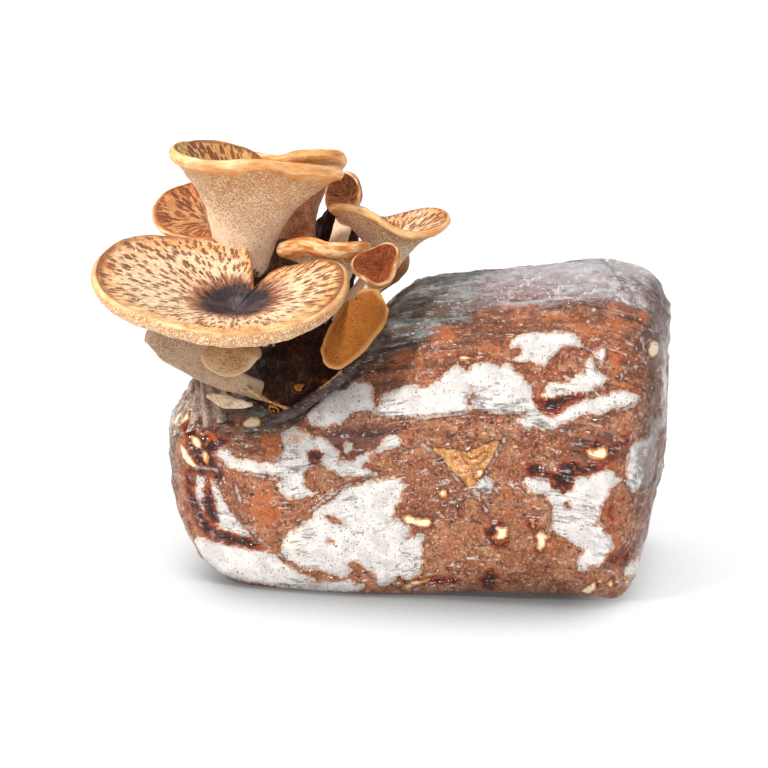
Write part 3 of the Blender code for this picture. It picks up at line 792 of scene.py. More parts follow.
FRUITS = [
    Fruit(
        "front_large_cap", (-90, -66, 178), (57.5, 59, 78.5, 57), (-74, -26, 130), 12,
        lean_front=15.5, lean_right=2, bowl=24, bowl_shift=(-6, 6), bowl_power=0.85, neck=0.24, neck_depth=14,
        lip=8, notch=((83, 13, 0.64), (61, 24, 0.34), (150, 24, -0.07)), foot_way=(0.5, 0.5, -0.7),
        bumps=((122, 36, -8.5), (160, 36, 5.5), (36, 30, 4.5)), waves=((3.2, 1, -155), (1.6, 1, -35), (1, 3, 40)),
    ),
    Fruit(
        "tall_funnel_cap", (-91, -18, 238.5), (47.5, 32, 47.5, 30), (-86, -4, 118), 8.5,
        lean_front=6, lean_right=9, bowl=56, bowl_shift=(-7, 13), bowl_power=0.7, neck=0.42, neck_depth=13,
        lip=7, notch=((70, 22, 0.2),), waves=((3.4, 2, 98), (6.4, 1, 92)), bumps=((-5, 32, 4.5), (62, 24, -6)),
        bend=(0.55, 0.4), taper=1.7, foot_way=(0.5, 0, -0.85), fine=1.5,
    ),
    Fruit(
        "left_back_cap", (-137, 22, 202.5), (26, 24, 26, 24), (-80, 13, 118), 5.5,
        lean_front=33, lean_right=4, bowl=13, bowl_shift=(5, 2), bowl_power=0.8, neck=0.28, lip=5,
        foot_way=(0.5, -0.1, -0.9), fine=1.4,
    ),
    Fruit(
        "rear_tall_cap", (-84, 50, 231), (28, 22, 36, 22), (-68, 13, 120), 8,
        lean_front=-17, lean_right=-4, bowl=42, bowl_power=0.75, neck=0.36, neck_depth=12, lip=7.5,
        waves=((1.2, 3, 90), (0.9, 5, 0), (1, 1, 0)), fine=1.5,
    ),
    Fruit(
        "small_hooded_cap", (-51.5, 30, 212.5), (11, 12, 11, 12), (-63, 10, 124), 6, lean_front=70,
        lean_right=-25, bowl=7, neck=0.62, neck_depth=6, lip=4.5, bend=(0.12, 0.5), fine=1.8,
    ),
    Fruit(
        "right_wavy_cap", (-19, 5, 204.5), (34, 22, 33, 20), (-48, -8, 126), 6.5,
        lean_front=4, lean_right=3, bowl=22, bowl_shift=(3, 0), bowl_power=0.65, neck=0.28, neck_depth=9,
        lip=5, waves=((5.1, 2, -81), (4.15, 1, 125)), bumps=((8, 34, 3),), bend=(0.25, 0.45), fine=1.6,
    ),
    Fruit(
        "middle_fan_cap", (-53, -12, 191), (24, 11, 24, 16), (-60, -18, 130), 5.5, lean_front=-14, bowl=10,
        bowl_shift=(11, 3), neck=0.34, lip=9, neck_depth=11, waves=((1.2, 3, 0),), fine=2,
    ),
    Fruit(
        "pinched_pocket_cap", (-18, -38, 184), (11, 12, 12.5, 11), (-44, -24, 126), 4.5,
        lean_front=50, lean_right=-10, bowl=9, neck=0.42, neck_depth=6, lip=5, bend=(0.25, 0.45),
        swells=((0.15, 3, 210),), fine=2.2,
    ),
]
print("fruit bodies:", [fruit.name for fruit in FRUITS])

# %% [markdown]
# Four fruit bodies never opened into a dish. They are leaning spatulas: flat oval sections along a bent
# middle line, with edges that curl away from the face. The middle line has a few points, so it is read
# with a smooth curve between them. Old stems and strips of film are made the same way.

# %% One spatula as a tube
TONGUES = {
    "hanging_tongue_cap": (
        [
            (-45, -34, 122, 6, 6), (-39, -40, 138, 6, 5.5), (-30, -48, 151, 7, 5), (-22, -56, 160, 9, 4.5),
            (-18.5, -63, 164, 11.5, 4), (-19.5, -70, 162, 12.5, 4), (-23.5, -76, 155.5, 12, 4),
            (-28, -80.5, 148.5, 11, 4), (-32.5, -83.5, 142, 9, 3.5), (-36, -84.2, 138, 6.5, 3),
            (-37.5, -84, 136.5, 3, 2),
        ],
        (0.1, -1, 0.3),
    ),
    "lower_left_cap": (
        [
            (-74, -43, 107, 6, 5), (-87, -58, 115, 7, 4.5), (-104.5, -71, 125.5, 10, 4),
            (-117, -79, 137, 13, 4.5), (-130, -80, 143.5, 11, 4.5), (-140, -78, 146.5, 4, 3),
        ],
        (0, -0.9, -0.35),
    ),
    "lower_round_cap": (
        [
            (-86, -62, 137, 8, 5), (-87, -74, 140.5, 10, 4.5), (-88, -84, 143, 12.5, 4.5),
            (-88, -93, 144.5, 15, 4.5), (-88, -99.5, 143, 15.8, 4.5), (-88, -101.5, 139, 14, 4),
            (-88, -101, 134.5, 11, 3.5), (-88, -100, 132, 6.5, 2.5),
        ],
        (0, -1, 0.6),
    ),
    "rear_knob": (
        [
            (-46, 12, 124, 3.5, 3.5), (-40, 15, 145, 3.5, 3.5), (-28, 19, 159, 4, 4), (-19, 22, 168, 5.5, 5.5),
            (-13, 23.5, 176, 4.5, 4.5), (-11, 24, 179, 1.5, 1.5),
        ],
        (0.3, -1, 0.2),
    ),
}
TONGUE_CURL, TONGUE_STEP, TONGUE_COLUMNS = 0.22, 1.2, 72
TONGUE_LEAST, TONGUE_EDGE, TONGUE_CLOSE = (0.8, 0.6), 6, 0.8


def along_line(stations):
    """The stations of a line read at even steps, with a smooth curve through them, and its length."""
    table = np.array(stations, float)
    walked = np.concatenate([[0], np.cumsum(np.linalg.norm(np.diff(table[:, :3], axis=0), axis=1))])
    slopes = np.gradient(table, walked, axis=0)
    made = []
    for s in np.linspace(0, walked[-1], int(walked[-1] / TONGUE_STEP) + 1):
        k = min(int(np.searchsorted(walked, s, "right")) - 1, len(walked) - 2)
        h = walked[k + 1] - walked[k]
        t = (s - walked[k]) / h
        near = (2 * t**3 - 3 * t**2 + 1) * table[k] + (t**3 - 2 * t**2 + t) * h * slopes[k]
        made.append(near + (3 * t**2 - 2 * t**3) * table[k + 1] + (t**3 - t**2) * h * slopes[k + 1])
    return np.array(made), walked[-1]


def tongue(stations, face, columns=TONGUE_COLUMNS):
    """A flat oval tube along a line, with the way in from its edge as a number."""
    face = Vector(face).normalized()
    line, length = along_line(stations)
    places = [Vector(row[:3]) for row in line]
    turns = [2 * pi * c / columns for c in range(columns)]
    rows, inset = [[places[0]] * columns], []
    for i, row in enumerate(line):
        ahead = (places[min(i + 1, len(line) - 1)] - places[max(i - 1, 0)]).normalized()
        side = ahead.cross(face).normalized()
        out = side.cross(ahead)
        width, thick = max(row[3], TONGUE_LEAST[0]), max(row[4], TONGUE_LEAST[1])
        curl = TONGUE_CURL * max(0, width - thick)
        ring = []
        for a in turns:
            across = cos(a)
            ring.append(places[i] + side * across * width + out * (sin(a) * thick - curl * across * across))
        rows.append(ring)
        edge = min(1, (1 - i / (len(line) - 1)) * length / TONGUE_EDGE)
        inset.append([width * (1 - abs(cos(a))) * edge for a in turns])
    rows.append([places[-1] + (places[-1] - places[-2]).normalized() * TONGUE_CLOSE] * columns)
    return tube(rows, {"inset": [inset[0], *inset, inset[-1]]})


print("spatulas:", list(TONGUES))

# %% [markdown]
# The clump that all the stems come from is a dark lumpy knot, half sunk in the block. A ball of even
# triangles is stretched to its size, and noise gives it its lumps and then the rough bark of old stems.

# %% The stem clump
CLUMP_CENTRE = Vector((-62, -16, 112))
CLUMP_RADII = (36, 46, 34)
CLUMP_LUMP, CLUMP_SEED = 3, Vector((4.1, 1.7, 0.3))
BARK_SPAN = 30


def clump_reach(way):
    """How far the clump's skin lies from its centre in one direction."""
    reach = 1 / sqrt(sum((w / r) ** 2 for w, r in zip(way, CLUMP_RADII)))
    return reach + CLUMP_LUMP * noise.noise(way * 2.3 + CLUMP_SEED)


def clump_mesh():
    """A lumpy ball with bark, in millimetres."""
    bm = bmesh.new()
    bmesh.ops.create_icosphere(bm, subdivisions=6, radius=1)
    for vert in bm.verts:
        way = vert.co.normalized()
        place = way * BARK_SPAN
        bark = 1.7 * crumple(place, 13, 2) + 0.9 * crumple(place, 5, 7) + 1.2 * grain(place, 8, 4) - 1.4
        vert.co = CLUMP_CENTRE + way * (clump_reach(way) + bark)
    return bm


# The wall of old stems behind the clump is dark flesh that also stands for the shade in the gaps between the stems:
# painted shade.
OLD_STEMS = {
    "old_stem_wall": [
        (-60, 16, 122, 12, 9), (-61, 33, 148, 14, 8), (-61, 45, 170, 15, 7), (-60, 52, 190, 13, 5),
        (-60, 54, 200, 7, 3),
    ],
    "old_stem_stump": [
        (-72, -2, 130, 12, 10), (-82, 9, 150, 13, 9), (-88, 17, 168, 12.5, 7), (-89, 20, 181, 10.5, 5),
        (-89, 21, 186, 6, 3),
    ],
}
OLD_STEMS_FACE, OLD_STEMS_COLUMNS = (0, -1, 0.4), 96
print("the clump is", CLUMP_RADII, "mm in half width, depth and height")

# %% [markdown]
# The fungus has two skins that every fruit body shares, so each is a node group. The upper face carries
# flat brown tufts in rings, longer than wide and frayed outwards; a cell pattern on stretched coordinates
# gives the tufts, and fine stripes along the same coordinates fray them. The underside is a sheet of
# small angular pores, about 1.2 mm apart, with thin walls, which are the insides of cells on the object's
# own coordinates. A third group is the cream flesh itself, mottled towards orange.

# %% Groups for the tufts, the pores and the flesh
def tuft_group():
    """Frayed tufts, flat on the face. Size is in millimetres, and Cover is how much of a cell they fill."""
    net = Group("brown_tufts", Grain=None, Size=3, Cover=0.5)
    spread, size, cover = net.given
    spot = spread.scaled(1 / size)
    spot = spot + (spot.noise(1 / 1.3, 2, 0.5, output="Color") - (0.5, 0.5, 0.5)) * (0.9, 0.9, 0)
    flat = {"Vector": spot, "Scale": 1, "Randomness": 0.95}
    middle, own = net.add("TexVoronoi", flat, "Distance", "Color", voronoi_dimensions="2D")
    chance, tone, _ = own.split()
    fray = spot.noise(1 / 4.2, 5, 0.7)
    edge = middle - (fray - 0.5) * 1.15 - (chance * 0.85 + 0.25) * cover
    return net.put_out(Mask=edge.fade(-0.1, 0.07, 1, 0), Tone=tone, Fray=fray)


def pore_group():
    """Angular holes with walls between them: Wall is the walls' share of a cell, and many close the holes."""
    net = Group("angular_pores", Place=None, Size=1.2, Wall=0.15)
    place, size, wall = net.given
    spot = place.scaled(1 / size)
    spot = spot + spot.noise(1 / 0.9, 1, 0.5, output="Color") * (0.7, 0.7, 0.7)
    _, chance, _ = spot.cells(1)
    depth = spot.walls(1) - (wall + (chance - 0.5) * 0.12)
    return net.put_out(Mask=depth.fade(-0.03, 0.07), Tone=chance)


def flesh_group():
    """The cream ground that all the fruit bodies have, mottled towards orange."""
    net = Group("mottled_flesh", Place=None, Pale=(246, 222, 186), Warm=(232, 180, 118), Share=0.5)
    place, pale, warm, share = net.given
    fine = place.noise(1.6, 4, 0.65)
    share = share + (place.noise(14, 3) - 0.5) * 1.5 + (fine - 0.5) * 0.9
    return net.put_out(Colour=share.fade(0, 1).between(pale, warm), Fibre=fine)


TUFTS, PORES, FLESH = tuft_group(), pore_group(), flesh_group()
SOFT_FLESH = {"Subsurface Weight": 0.1, "Subsurface Radius": (0.003, 0.0015, 0.0008), "Subsurface Scale": 1}
print("groups:", TUFTS.name, PORES.name, FLESH.name)

# %% [markdown]
# One cap finish serves all the dish-shaped bodies, with each one's own values. Along the zone number it goes from
# the centre, which is stained dark on the big cap and has patches of painted sheen, over the tufts, to a thin brown
# line and a smooth golden rim with streaks that run along it, whose pale streaks are painted highlights. Then come
# the pores: wide and brown under the rim, closing and
# paling down the stem, which turns black where it leaves the clump. A little light passes through the flesh,
# which softens its shading.

# %% The finish of the dish-shaped fruit bodies
def cap_finish(name, tuft, cover, rim, pale=(250, 224, 186), warm=(236, 176, 112), under=(255, 226, 188),
               stem_tone=(255, 226, 198), scale_colour=(118, 60, 36), dark=0, rim_end=1.95, base=140,
               streak=0.55, edge_line=0.8, lip_in=0, gloss=0.4):
    """dark is the stained centre's radius, base the height of the black foot, lip_in the rim's roll inwards."""
    net = Finish(name)
    place, zone, inset, spread = net.place(), net.number("zone"), net.number("inset"), net.number("grain", "Vector")
    flesh, fibre = net.group(FLESH, Place=place, Pale=pale, Warm=warm, Share=inset.fade(26, 2, 0.12, 0.72))
    way = (spread * (1, 1, 0)).normalized()
    spoke = way * (52, 52, 0) + spread * (0, 0, 0.9)
    fibres = spoke.noise(0.8, 4, 0.65)
    colour = flesh.coat(fibres.fade(0.5, 0.72, 0, 0.5), (204, 132, 76))
    colour = colour.coat(fibres.fade(0.46, 0.28, 0, 0.45), (255, 238, 206))

    big, big_tone, fray = net.group(TUFTS, Grain=spread, Size=tuft, Cover=cover)
    small, _, _ = net.group(TUFTS, Grain=spread, Size=tuft * 0.45, Cover=cover * 0.9)
    on_face = zone.fade(0.965, 1.02, 1, 0)
    tone = big_tone.between(scale_colour, (168, 98, 56)).coat(fray.fade(0.52, 0.34, 0, 0.65), (80, 38, 26))
    mask = big * on_face
    colour = colour.coat(small * (on_face * 0.5), (186, 116, 68)).coat(mask * 0.93, tone)

    if dark:
        radius = inset * zone.at_most(1) / (1 - zone).at_least(0.02)
        rough = spread.noise(3.2, 4, 0.7) + spoke.noise(1.5) - 1
        reach, top = radius + rough * 14, zone.fade(1.3, 1.1)
        halo, core = reach.fade(dark + 9, dark - 1) * top, reach.fade(dark + 1.5, dark - 6) * top
        ash = place.noise(0.8, 4, 0.75).fade(0.56, 0.72, 0, 0.6)
        # The grey-pink patches over the dark centre are a painted sheen.
        painted_sheen = place.noise(13, 1).fade(0.5, 0.66, 0, 0.5)
        stain = ash.between((50, 36, 42), (150, 132, 128)).coat(painted_sheen, (112, 92, 92))
        colour = colour.coat(halo * 0.8, (150, 76, 42)).coat(core, stain)

    ribbons = (spread * (0.13, 0.13, 0.42)).noise(1, 4, 0.62)
    slow = (spread * (0.05, 0.05, 0.05)).noise(1, 1)
    # The pale end of the rim's streaks is a painted highlight of the light on the rim.
    rim_tone = ribbons.fade(0.42, 0.66).between(rim, (252, 218, 166))
    rim_tone = rim_tone.coat(ribbons.fade(0.5, 0.3, 0, streak), (196, 116, 56))
    rim_tone = rim_tone.coat(slow.fade(0.5, 0.66, 0, 0.45), (206, 124, 62))
    rim_tone = rim_tone.coat(zone.fade(rim_end - 0.25, rim_end, 0, 0.5), (206, 132, 66))
    lower = zone + (slow - 0.5) * 0.5 + (fibres - 0.5) * 0.25
    lipped, crest = zone.fade(0.965, 1.04), zone.fade(0.93, 0.985) * zone.fade(1.12, 1.02)
    if lip_in:
        front = way.split()[1].fade(-0.25, -0.8)
        rolled = front * (inset + fibres * 3).fade(lip_in + 2.5, lip_in)
        lower, lipped, crest = lower + front * 0.3, lipped.at_least(rolled), crest * (1 - front)
    crest = crest * (ribbons + slow).fade(0.85, 1.05, 0.3)
    colour = colour.coat(lipped, rim_tone).coat(crest * edge_line, (138, 72, 36))

    below, down = lower.fade(rim_end, rim_end + 0.14), zone + (place.noise(9) - 0.5) * 0.5
    holes, own = net.group(PORES, Place=place, Size=1.25, Wall=down.fade(rim_end + 0.1, 3.3, 0.09, 0.27))
    walls = place.noise(0.7, 2, 0.6)
    skin = down.fade(2.3, 3.4).between(under, stem_tone)
    skin = skin.coat(place.noise(6, 3).fade(0.42, 0.7, 0, 0.45), (238, 190, 142))
    skin = skin.coat(down.fade(rim_end + 0.5, rim_end + 0.05, 0, 0.5), (248, 206, 150))
    skin = skin.coat(walls.fade(0.52, 0.7, 0, 0.5), (255, 240, 214))
    hole = down.fade(2.2, 3.4).between((196, 124, 72), (196, 140, 104)).coat(own * 0.5, (214, 150, 92))
    skin = skin.coat(holes * down.fade(2.4, 3.9, 0.9, 0.3), hole)
    foot = place.split()[2] + (place.noise(5, 3, 0.65) - 0.5) * 22
    black = walls.fade(0.4, 0.6).between((24, 15, 11), (66, 40, 26))
    colour = colour.coat(below, skin).coat(foot.fade(base + 2.5, base - 2.5) * below, black)

    sunk = holes * (below * down.fade(2.6, 4, 1, 0.2))
    height = mask * 0.5 + (1 - sunk) * 0.75 + fibre * 0.45 + ribbons * zone.fade(0.98, 1.05, 0, 0.5)
    surface = {"Base Color": colour, "Normal": height.bump(0.75), "Roughness": fibre.fade(0.3, 0.7, 0.44, 0.7)}
    return net.dress({**surface, **SOFT_FLESH, "Specular IOR Level": gloss})


CAP_LOOKS = {
    "front_large_cap": {
        "tuft": 2.5, "cover": 0.44, "dark": 23, "rim_end": 1.4, "rim": (244, 190, 128), "lip_in": 8.5,
    },
    "tall_funnel_cap": {
        "tuft": 2.2, "cover": 0.54, "warm": (244, 186, 112), "pale": (255, 220, 160), "rim": (244, 180, 112),
        "scale_colour": (126, 62, 34), "rim_end": 2.02, "base": 172,
    },
    "left_back_cap": {
        "tuft": 2.3, "cover": 0.56, "pale": (236, 192, 142), "warm": (208, 126, 64), "rim": (192, 114, 54),
        "gloss": 0.25,
    },
    "rear_tall_cap": {
        "tuft": 2.4, "cover": 0.4, "rim": (246, 172, 96), "warm": (226, 158, 96), "streak": 0.8,
        "edge_line": 1, "stem_tone": (160, 88, 56), "under": (172, 102, 64), "gloss": 0.2,
    },
    "small_hooded_cap": {
        "tuft": 1.5, "cover": 0.7, "warm": (80, 38, 28), "pale": (114, 62, 46), "scale_colour": (44, 22, 20),
        "rim": (148, 82, 42), "gloss": 0.1,
    },
    "right_wavy_cap": {
        "tuft": 1.9, "cover": 0.52, "warm": (228, 158, 90), "rim": (238, 184, 122), "rim_end": 1.9,
    },
    "middle_fan_cap": {
        "tuft": 1.8, "cover": 0.4, "rim": (210, 128, 56), "warm": (224, 152, 86), "rim_end": 2.05,
        "streak": 0.8, "gloss": 0.2,
    },
    "pinched_pocket_cap": {
        "tuft": 1.6, "cover": 0.5, "pale": (148, 62, 14), "warm": (122, 42, 6), "rim": (174, 106, 50),
        "gloss": 0.1,
    },
}
for fruit in FRUITS:
    rows, zones, turns, facts = fruit.rows()
    bm = tube(rows, fruit.numbers(zones, turns, facts))
    swell(bm, lambda point: 0.7 * grain(point, 11, 3) + 0.3 * grain(point, 4, 8))
    skin = cap_finish(fruit.name + "_skin", **CAP_LOOKS[fruit.name])
    finish(bm, fruit.name + "_flesh", skin, "mushroom", fruit.name)

# %% [markdown]
# The spatulas show the side that bears pores: ochre on the hanging one, grey-cream on those under the large
# cap. They have no rim, only an edge that pales, so their finish is a simpler one from the same groups.

# %% The finish of the spatulas
def spatula_finish(name, pale, warm, edge, pore, wall):
    """The flesh's two tones, the edge's, the pores' and the width of the pores' walls make one skin."""
    net = Finish(name)
    place, inset = net.place(), net.number("inset")
    flesh, fibre = net.group(FLESH, Place=place, Pale=pale, Warm=warm, Share=0.5)
    patch = place.noise(8).fade(0.36, 0.62, 0.12, 0)
    walls = inset.fade(0.5, 4, 0.3, 0) + patch + wall
    holes, _ = net.group(PORES, Place=place, Size=1.2, Wall=walls)
    colour = flesh.coat(inset.fade(3, 0.2, 0, 0.8), edge)
    colour = colour.coat(place.noise(0.7, 2, 0.6).fade(0.52, 0.72, 0, 0.3), edge).coat(holes * 0.75, pore)
    height = 1 - holes + fibre * 0.8
    surface = {"Base Color": colour, "Normal": height.bump(0.65), "Roughness": fibre.fade(0.3, 0.7, 0.46, 0.66)}
    return net.dress({**surface, **SOFT_FLESH, "Specular IOR Level": 0.15})


SPATULA_LOOKS = {
    "hanging_tongue_cap": ((164, 98, 32), (138, 72, 16), (204, 148, 84), (92, 44, 12), 0.3),
    "lower_left_cap": ((178, 152, 128), (162, 128, 98), (190, 164, 138), (122, 86, 58), 0.2),
    "lower_round_cap": ((182, 148, 112), (166, 128, 86), (198, 162, 124), (114, 72, 42), 0.2),
    "rear_knob": ((178, 124, 80), (156, 100, 58), (192, 144, 100), (142, 92, 52), 0.3),
}
for name, (line, face) in TONGUES.items():
    bm = swell(tongue(line, face), lambda point: 0.8 * grain(point, 12, 5) + 0.3 * grain(point, 4.5, 6))
    finish(bm, name + "_flesh", spatula_finish(name + "_skin", *SPATULA_LOOKS[name]), "mushroom", name)

# %% [markdown]
# The clump is the oldest flesh: almost black, partly the black of old stem bases and partly painted shade, since it
# lies deep under the caps, with brown fibres. Round its foot young skin shows as orange rings, like the growth
# lines of a cut root, from a wave of the distance to the nearest cell centre.

# %% The clump's finish
def clump_finish(name, dark, light, rings):
    """Fibrous old skin between two tones, with or without the rings of young skin."""
    net = Finish(name)
    place = net.place()
    slow, fine = place.noise(9, 4, 0.65, 0.8), place.noise(1.4, 4, 0.7)
    fibre = (place * (1, 1, 0.2)).noise(1.6, 4, 0.65)
    colour = slow.fade(0.36, 0.68).between(dark, light)
    colour = colour.coat(fibre.fade(0.52, 0.7, 0, 0.75), (122, 66, 32))
    colour = colour.coat(fine.fade(0.48, 0.3, 0, 0.8), (14, 8, 7))
    if rings:
        middle, chance, _ = (place + place.noise(5, 2, 0.5, output="Color") * (5, 5, 5)).cells(13)
        near = place.split()[2].fade(126, 112) * chance.fade(0.3, 0.4) * middle.fade(0.5, 0.34)
        glow = near * ((middle * 30).sine() + fine * 1.5).fade(0.7, 1.3)
        colour = colour.coat(glow * 0.9, (214, 128, 46))
    height = slow * 0.8 + fine * 0.5 + fibre * 0.5
    surface = {"Base Color": colour, "Normal": height.bump(2.2), "Roughness": fine.fade(0.3, 0.7, 0.4, 0.8)}
    return net.dress({**surface, "Specular IOR Level": 0.2})


def old_bark(point):
    """Folds drawn out along an old stem, in millimetres."""
    drawn = Vector((point.x, point.y, point.z * 0.3))
    return 2 * crumple(drawn, 7, 5) - 1.2 + grain(point, 5, 2)


# The darkest skin, on the clump and the wall, is partly the black of old stem bases and partly painted shade.
DARK_STEM_AND_SHADE_SKIN = clump_finish("old_stem_skin", (16, 6, 2), (58, 24, 8), True)
GREY_SKIN = clump_finish("grey_stem_skin", (70, 50, 40), (142, 112, 92), False)
STEM_SKINS = {"old_stem_wall": DARK_STEM_AND_SHADE_SKIN, "old_stem_stump": GREY_SKIN}
finish(clump_mesh(), "old_stems", DARK_STEM_AND_SHADE_SKIN, "stem_base", "stem_clump")
for name, line in OLD_STEMS.items():
    bm = swell(tongue(line, OLD_STEMS_FACE, OLD_STEMS_COLUMNS), old_bark)
    finish(bm, name, STEM_SKINS[name], "stem_base", "stem_clump")

# %% [markdown]
# The block's finish lays its layers one over the other, as they grew: brown sawdust with chips, dark film round the
# clump that is partly painted shade, a grey veil on top that is a painted reflection of the sky in the film
# standing off there, white skins with specks, painted wrinkle shade and a tan torn edge, cream bits, wet dark
# stains, and the film's creases and glints as painted lines of shade and highlight. Each layer's edge is its
# distance plus fine noise, cut at zero.

# %% The block's finish
PULL_SHIFT, PULL_LENGTH, PULL_DIP, PULL_STRETCH = 75, 45, 12, 0.13


def bent_lines(place):
    """Coordinates in which the film's pulls run level: they dip at the left end and rise past it."""
    along, across, up = place.split()
    level = up + ((along + PULL_SHIFT) / PULL_LENGTH).cosine() * PULL_DIP
    return place.net.add("CombineXYZ", {0: along * PULL_STRETCH, 1: across, 2: level})


def ridges(place, size, width, detail=4, warp=0.8):
    """Thin lines where a noise passes its middle, 1 on the line."""
    return (place.noise(size, detail, 0.6, warp) - 0.5).absolute().fade(width, width * 0.15)


def sawdust_finish():
    """The layers from the sawdust up, each with its own tone laid over the colour so far."""
    net = Finish("sawdust_and_fungus")
    place = net.place()
    drawn = bent_lines(place)
    along, _, tall = place.split()
    tear, frayed = place.noise(5, 6, 0.75) - 0.5, place.noise(1.5, 3, 0.7) - 0.5
    wear = tear * 7 + frayed * 2.2

    def layer(name, shift=0, soft=0.2, roughness=1):
        """How much of a layer covers each place, and how far inside its outline the place lies."""
        distance = net.number(name) + wear * roughness
        return (distance + shift).fade(-soft, soft), distance

    slow, mid, fine = place.noise(30, 3), place.noise(5, 5, 0.7), place.noise(1.5, 4, 0.8)
    drag, smear = drawn.noise(3.4, 5, 0.65, 0.5), tall.fade(84, 104, 0.25)
    colour = tall.fade(60, 150).between((158, 96, 62), (148, 75, 46))
    colour = colour.coat(slow.fade(0.42, 0.64, 0, 0.75), (130, 68, 42))
    colour = colour.coat(place.noise(13, 5, 0.6).fade(0.51, 0.53, 0, 0.42), (200, 144, 106))
    colour = colour.coat(place.noise(9, 5, 0.65, 0.4).fade(0.56, 0.6, 0, 0.6), (182, 98, 56))
    colour = colour.coat(mid.fade(0.5, 0.36, 0, 0.8), (84, 42, 30))
    colour = colour.coat(drag.fade(0.47, 0.33) * (smear * 0.75), (76, 40, 34))
    colour = colour.coat(drag.fade(0.56, 0.66) * (smear * 0.55), (212, 168, 150))
    colour = colour.coat(fine.fade(0.53, 0.66, 0, 0.8), (228, 172, 122))
    colour = colour.coat(fine.fade(0.47, 0.34, 0, 0.95), (52, 26, 18))
    chip, chance, own = (place * (0.6, 1, 1)).cells(2.6)
    chips = (chip + frayed * 0.9).fade(0.36, 0.26) * chance.fade(0.8, 0.84)
    colour = colour.coat(chips * 0.8, own.fade(0.4, 0.42).between((232, 186, 142), (40, 18, 14)))

    # The dark wash is partly the dark film and partly painted shade from the caps; its rare bluish flecks are
    # painted glints.
    wash, _ = layer("wash", 0, 3.5, 1.6)
    dark_film_and_shade_tone = drag.fade(0.4, 0.62).between((48, 20, 16), (124, 74, 62))
    dark_film_and_shade_tone = dark_film_and_shade_tone.coat(drawn.noise(1.8, 4, 0.7).fade(0.6, 0.7, 0, 0.8), (150, 150, 170))
    colour = colour.coat(wash * 0.9, dark_film_and_shade_tone)
    rust = layer("rust", 0, 1.5)[0] * mid.fade(0.36, 0.6, 0.1, 0.8)
    colour = colour.coat(rust, (190, 96, 40))
    ochre, ochre_distance = layer("ochre", 0, 0.15, 0.12)
    floor = mid.fade(0.36, 0.6).between((164, 92, 44), (222, 160, 92))
    floor = floor.coat(fine.fade(0.54, 0.66), (250, 216, 160))
    floor = floor.coat(place.noise(2.6, 4, 0.7).fade(0.44, 0.3), (66, 28, 14))
    # Darker towards the ochre floor's edge: painted shade at the rim of the recess.
    floor = floor.coat(ochre_distance.fade(1.5, 0.1, 0, 0.85), (70, 32, 18))
    colour = colour.coat(ochre, floor)

    from_sky_reflection = net.number("haze")
    sky_reflection_reach = from_sky_reflection + ((drawn.noise(9, 4, 0.7) - 0.5) * 16 + tear * 7)
    haze, band = sky_reflection_reach.fade(-1.5, 2), sky_reflection_reach.fade(-17, -9)
    band_tone = place.noise(16, 4).fade(0.48, 0.54).between((116, 66, 42), (176, 96, 48))
    band_tone = band_tone.coat(drag.fade(0.47, 0.36), (70, 42, 32))
    band_tone = band_tone.coat(drawn.noise(1.8, 5, 0.7).fade(0.55, 0.66), (192, 144, 114))
    band_tone = band_tone.coat(fine.fade(0.54, 0.68, 0, 0.5), (222, 180, 148))
    band_tone = band_tone.coat(fine.fade(0.46, 0.33, 0, 0.75), (58, 32, 24))
    colour = colour.coat(band * (from_sky_reflection.fade(-30, -24) * 0.85), band_tone)
    # The veil is a painted reflection of the pale sky in the film that stands off the top: grey to pink, with
    # bluish patches, white flecks, a paler top edge and a web of painted glints on its crinkles. It has dark
    # streaks and lines too.
    right = (along + slow * 60).fade(50, 95)
    streaks = drawn.noise(3, 6, 0.66, 0.7)
    sky_reflection_tone = right.between((98, 90, 80), (158, 126, 120))
    sky_reflection_tone = sky_reflection_tone.coat(streaks.fade(0.5, 0.36), right.between((48, 38, 32), (104, 60, 50)))
    blue = drawn.noise(6, 3).fade(0.5, 0.62)
    sky_reflection_tone = sky_reflection_tone.coat(blue * 0.7, right.between((138, 154, 152), (190, 190, 200)))
    sky_reflection_tone = sky_reflection_tone.coat(drawn.noise(1.7, 5, 0.7).fade(0.57, 0.65), (226, 228, 230))
    sky_reflection_tone = sky_reflection_tone.coat(ridges(drawn, 5, 0.014), (50, 40, 38))
    sky_reflection_tone = sky_reflection_tone.coat((tall + tear * 30).fade(162, 174) * 0.5, (206, 210, 216))
    web = (place + place.noise(1 / 0.12, 2, 0.5, output="Color") * (14, 14, 14)).walls(15)
    crinkle_glints = web.fade(0.035, 0.008) * mid.fade(0.4, 0.55)
    sky_reflection_tone = sky_reflection_tone.coat(crinkle_glints * (right * 0.85), (240, 238, 238))
    colour = colour.coat(haze * streaks.fade(0.28, 0.5, 0.55, 0.95), sky_reflection_tone)

    white, white_distance = layer("white", 0.45, 0.25)
    skin = place.noise(9, 4, 0.6).fade(0.4, 0.6).between((218, 211, 206), (243, 236, 230))
    skin = skin.coat(place.noise(22).fade(0.56, 0.68, 0, 0.45), (248, 234, 214))
    specks = []
    for size, radius in ((1.3, 0.34), (3.1, 0.22)):
        middle, chance, _ = place.cells(size)
        specks.append(middle.fade(radius, radius * 0.6) * chance.fade(0.5, 0.54))
    dense = place.noise(16, 3).fade(0.36, 0.56, 0.3, 0.9)
    skin = skin.coat(specks[0].at_least(specks[1]) * dense, (66, 54, 54))
    drawn_in = place.noise(24).fade(0.48, 0.6, 0.06)
    wrinkled, folded = ridges(drawn, 5.2, 0.02) * drawn_in, drawn.noise(2.2, 3, 0.6).fade(0.5, 0.36) * drawn_in
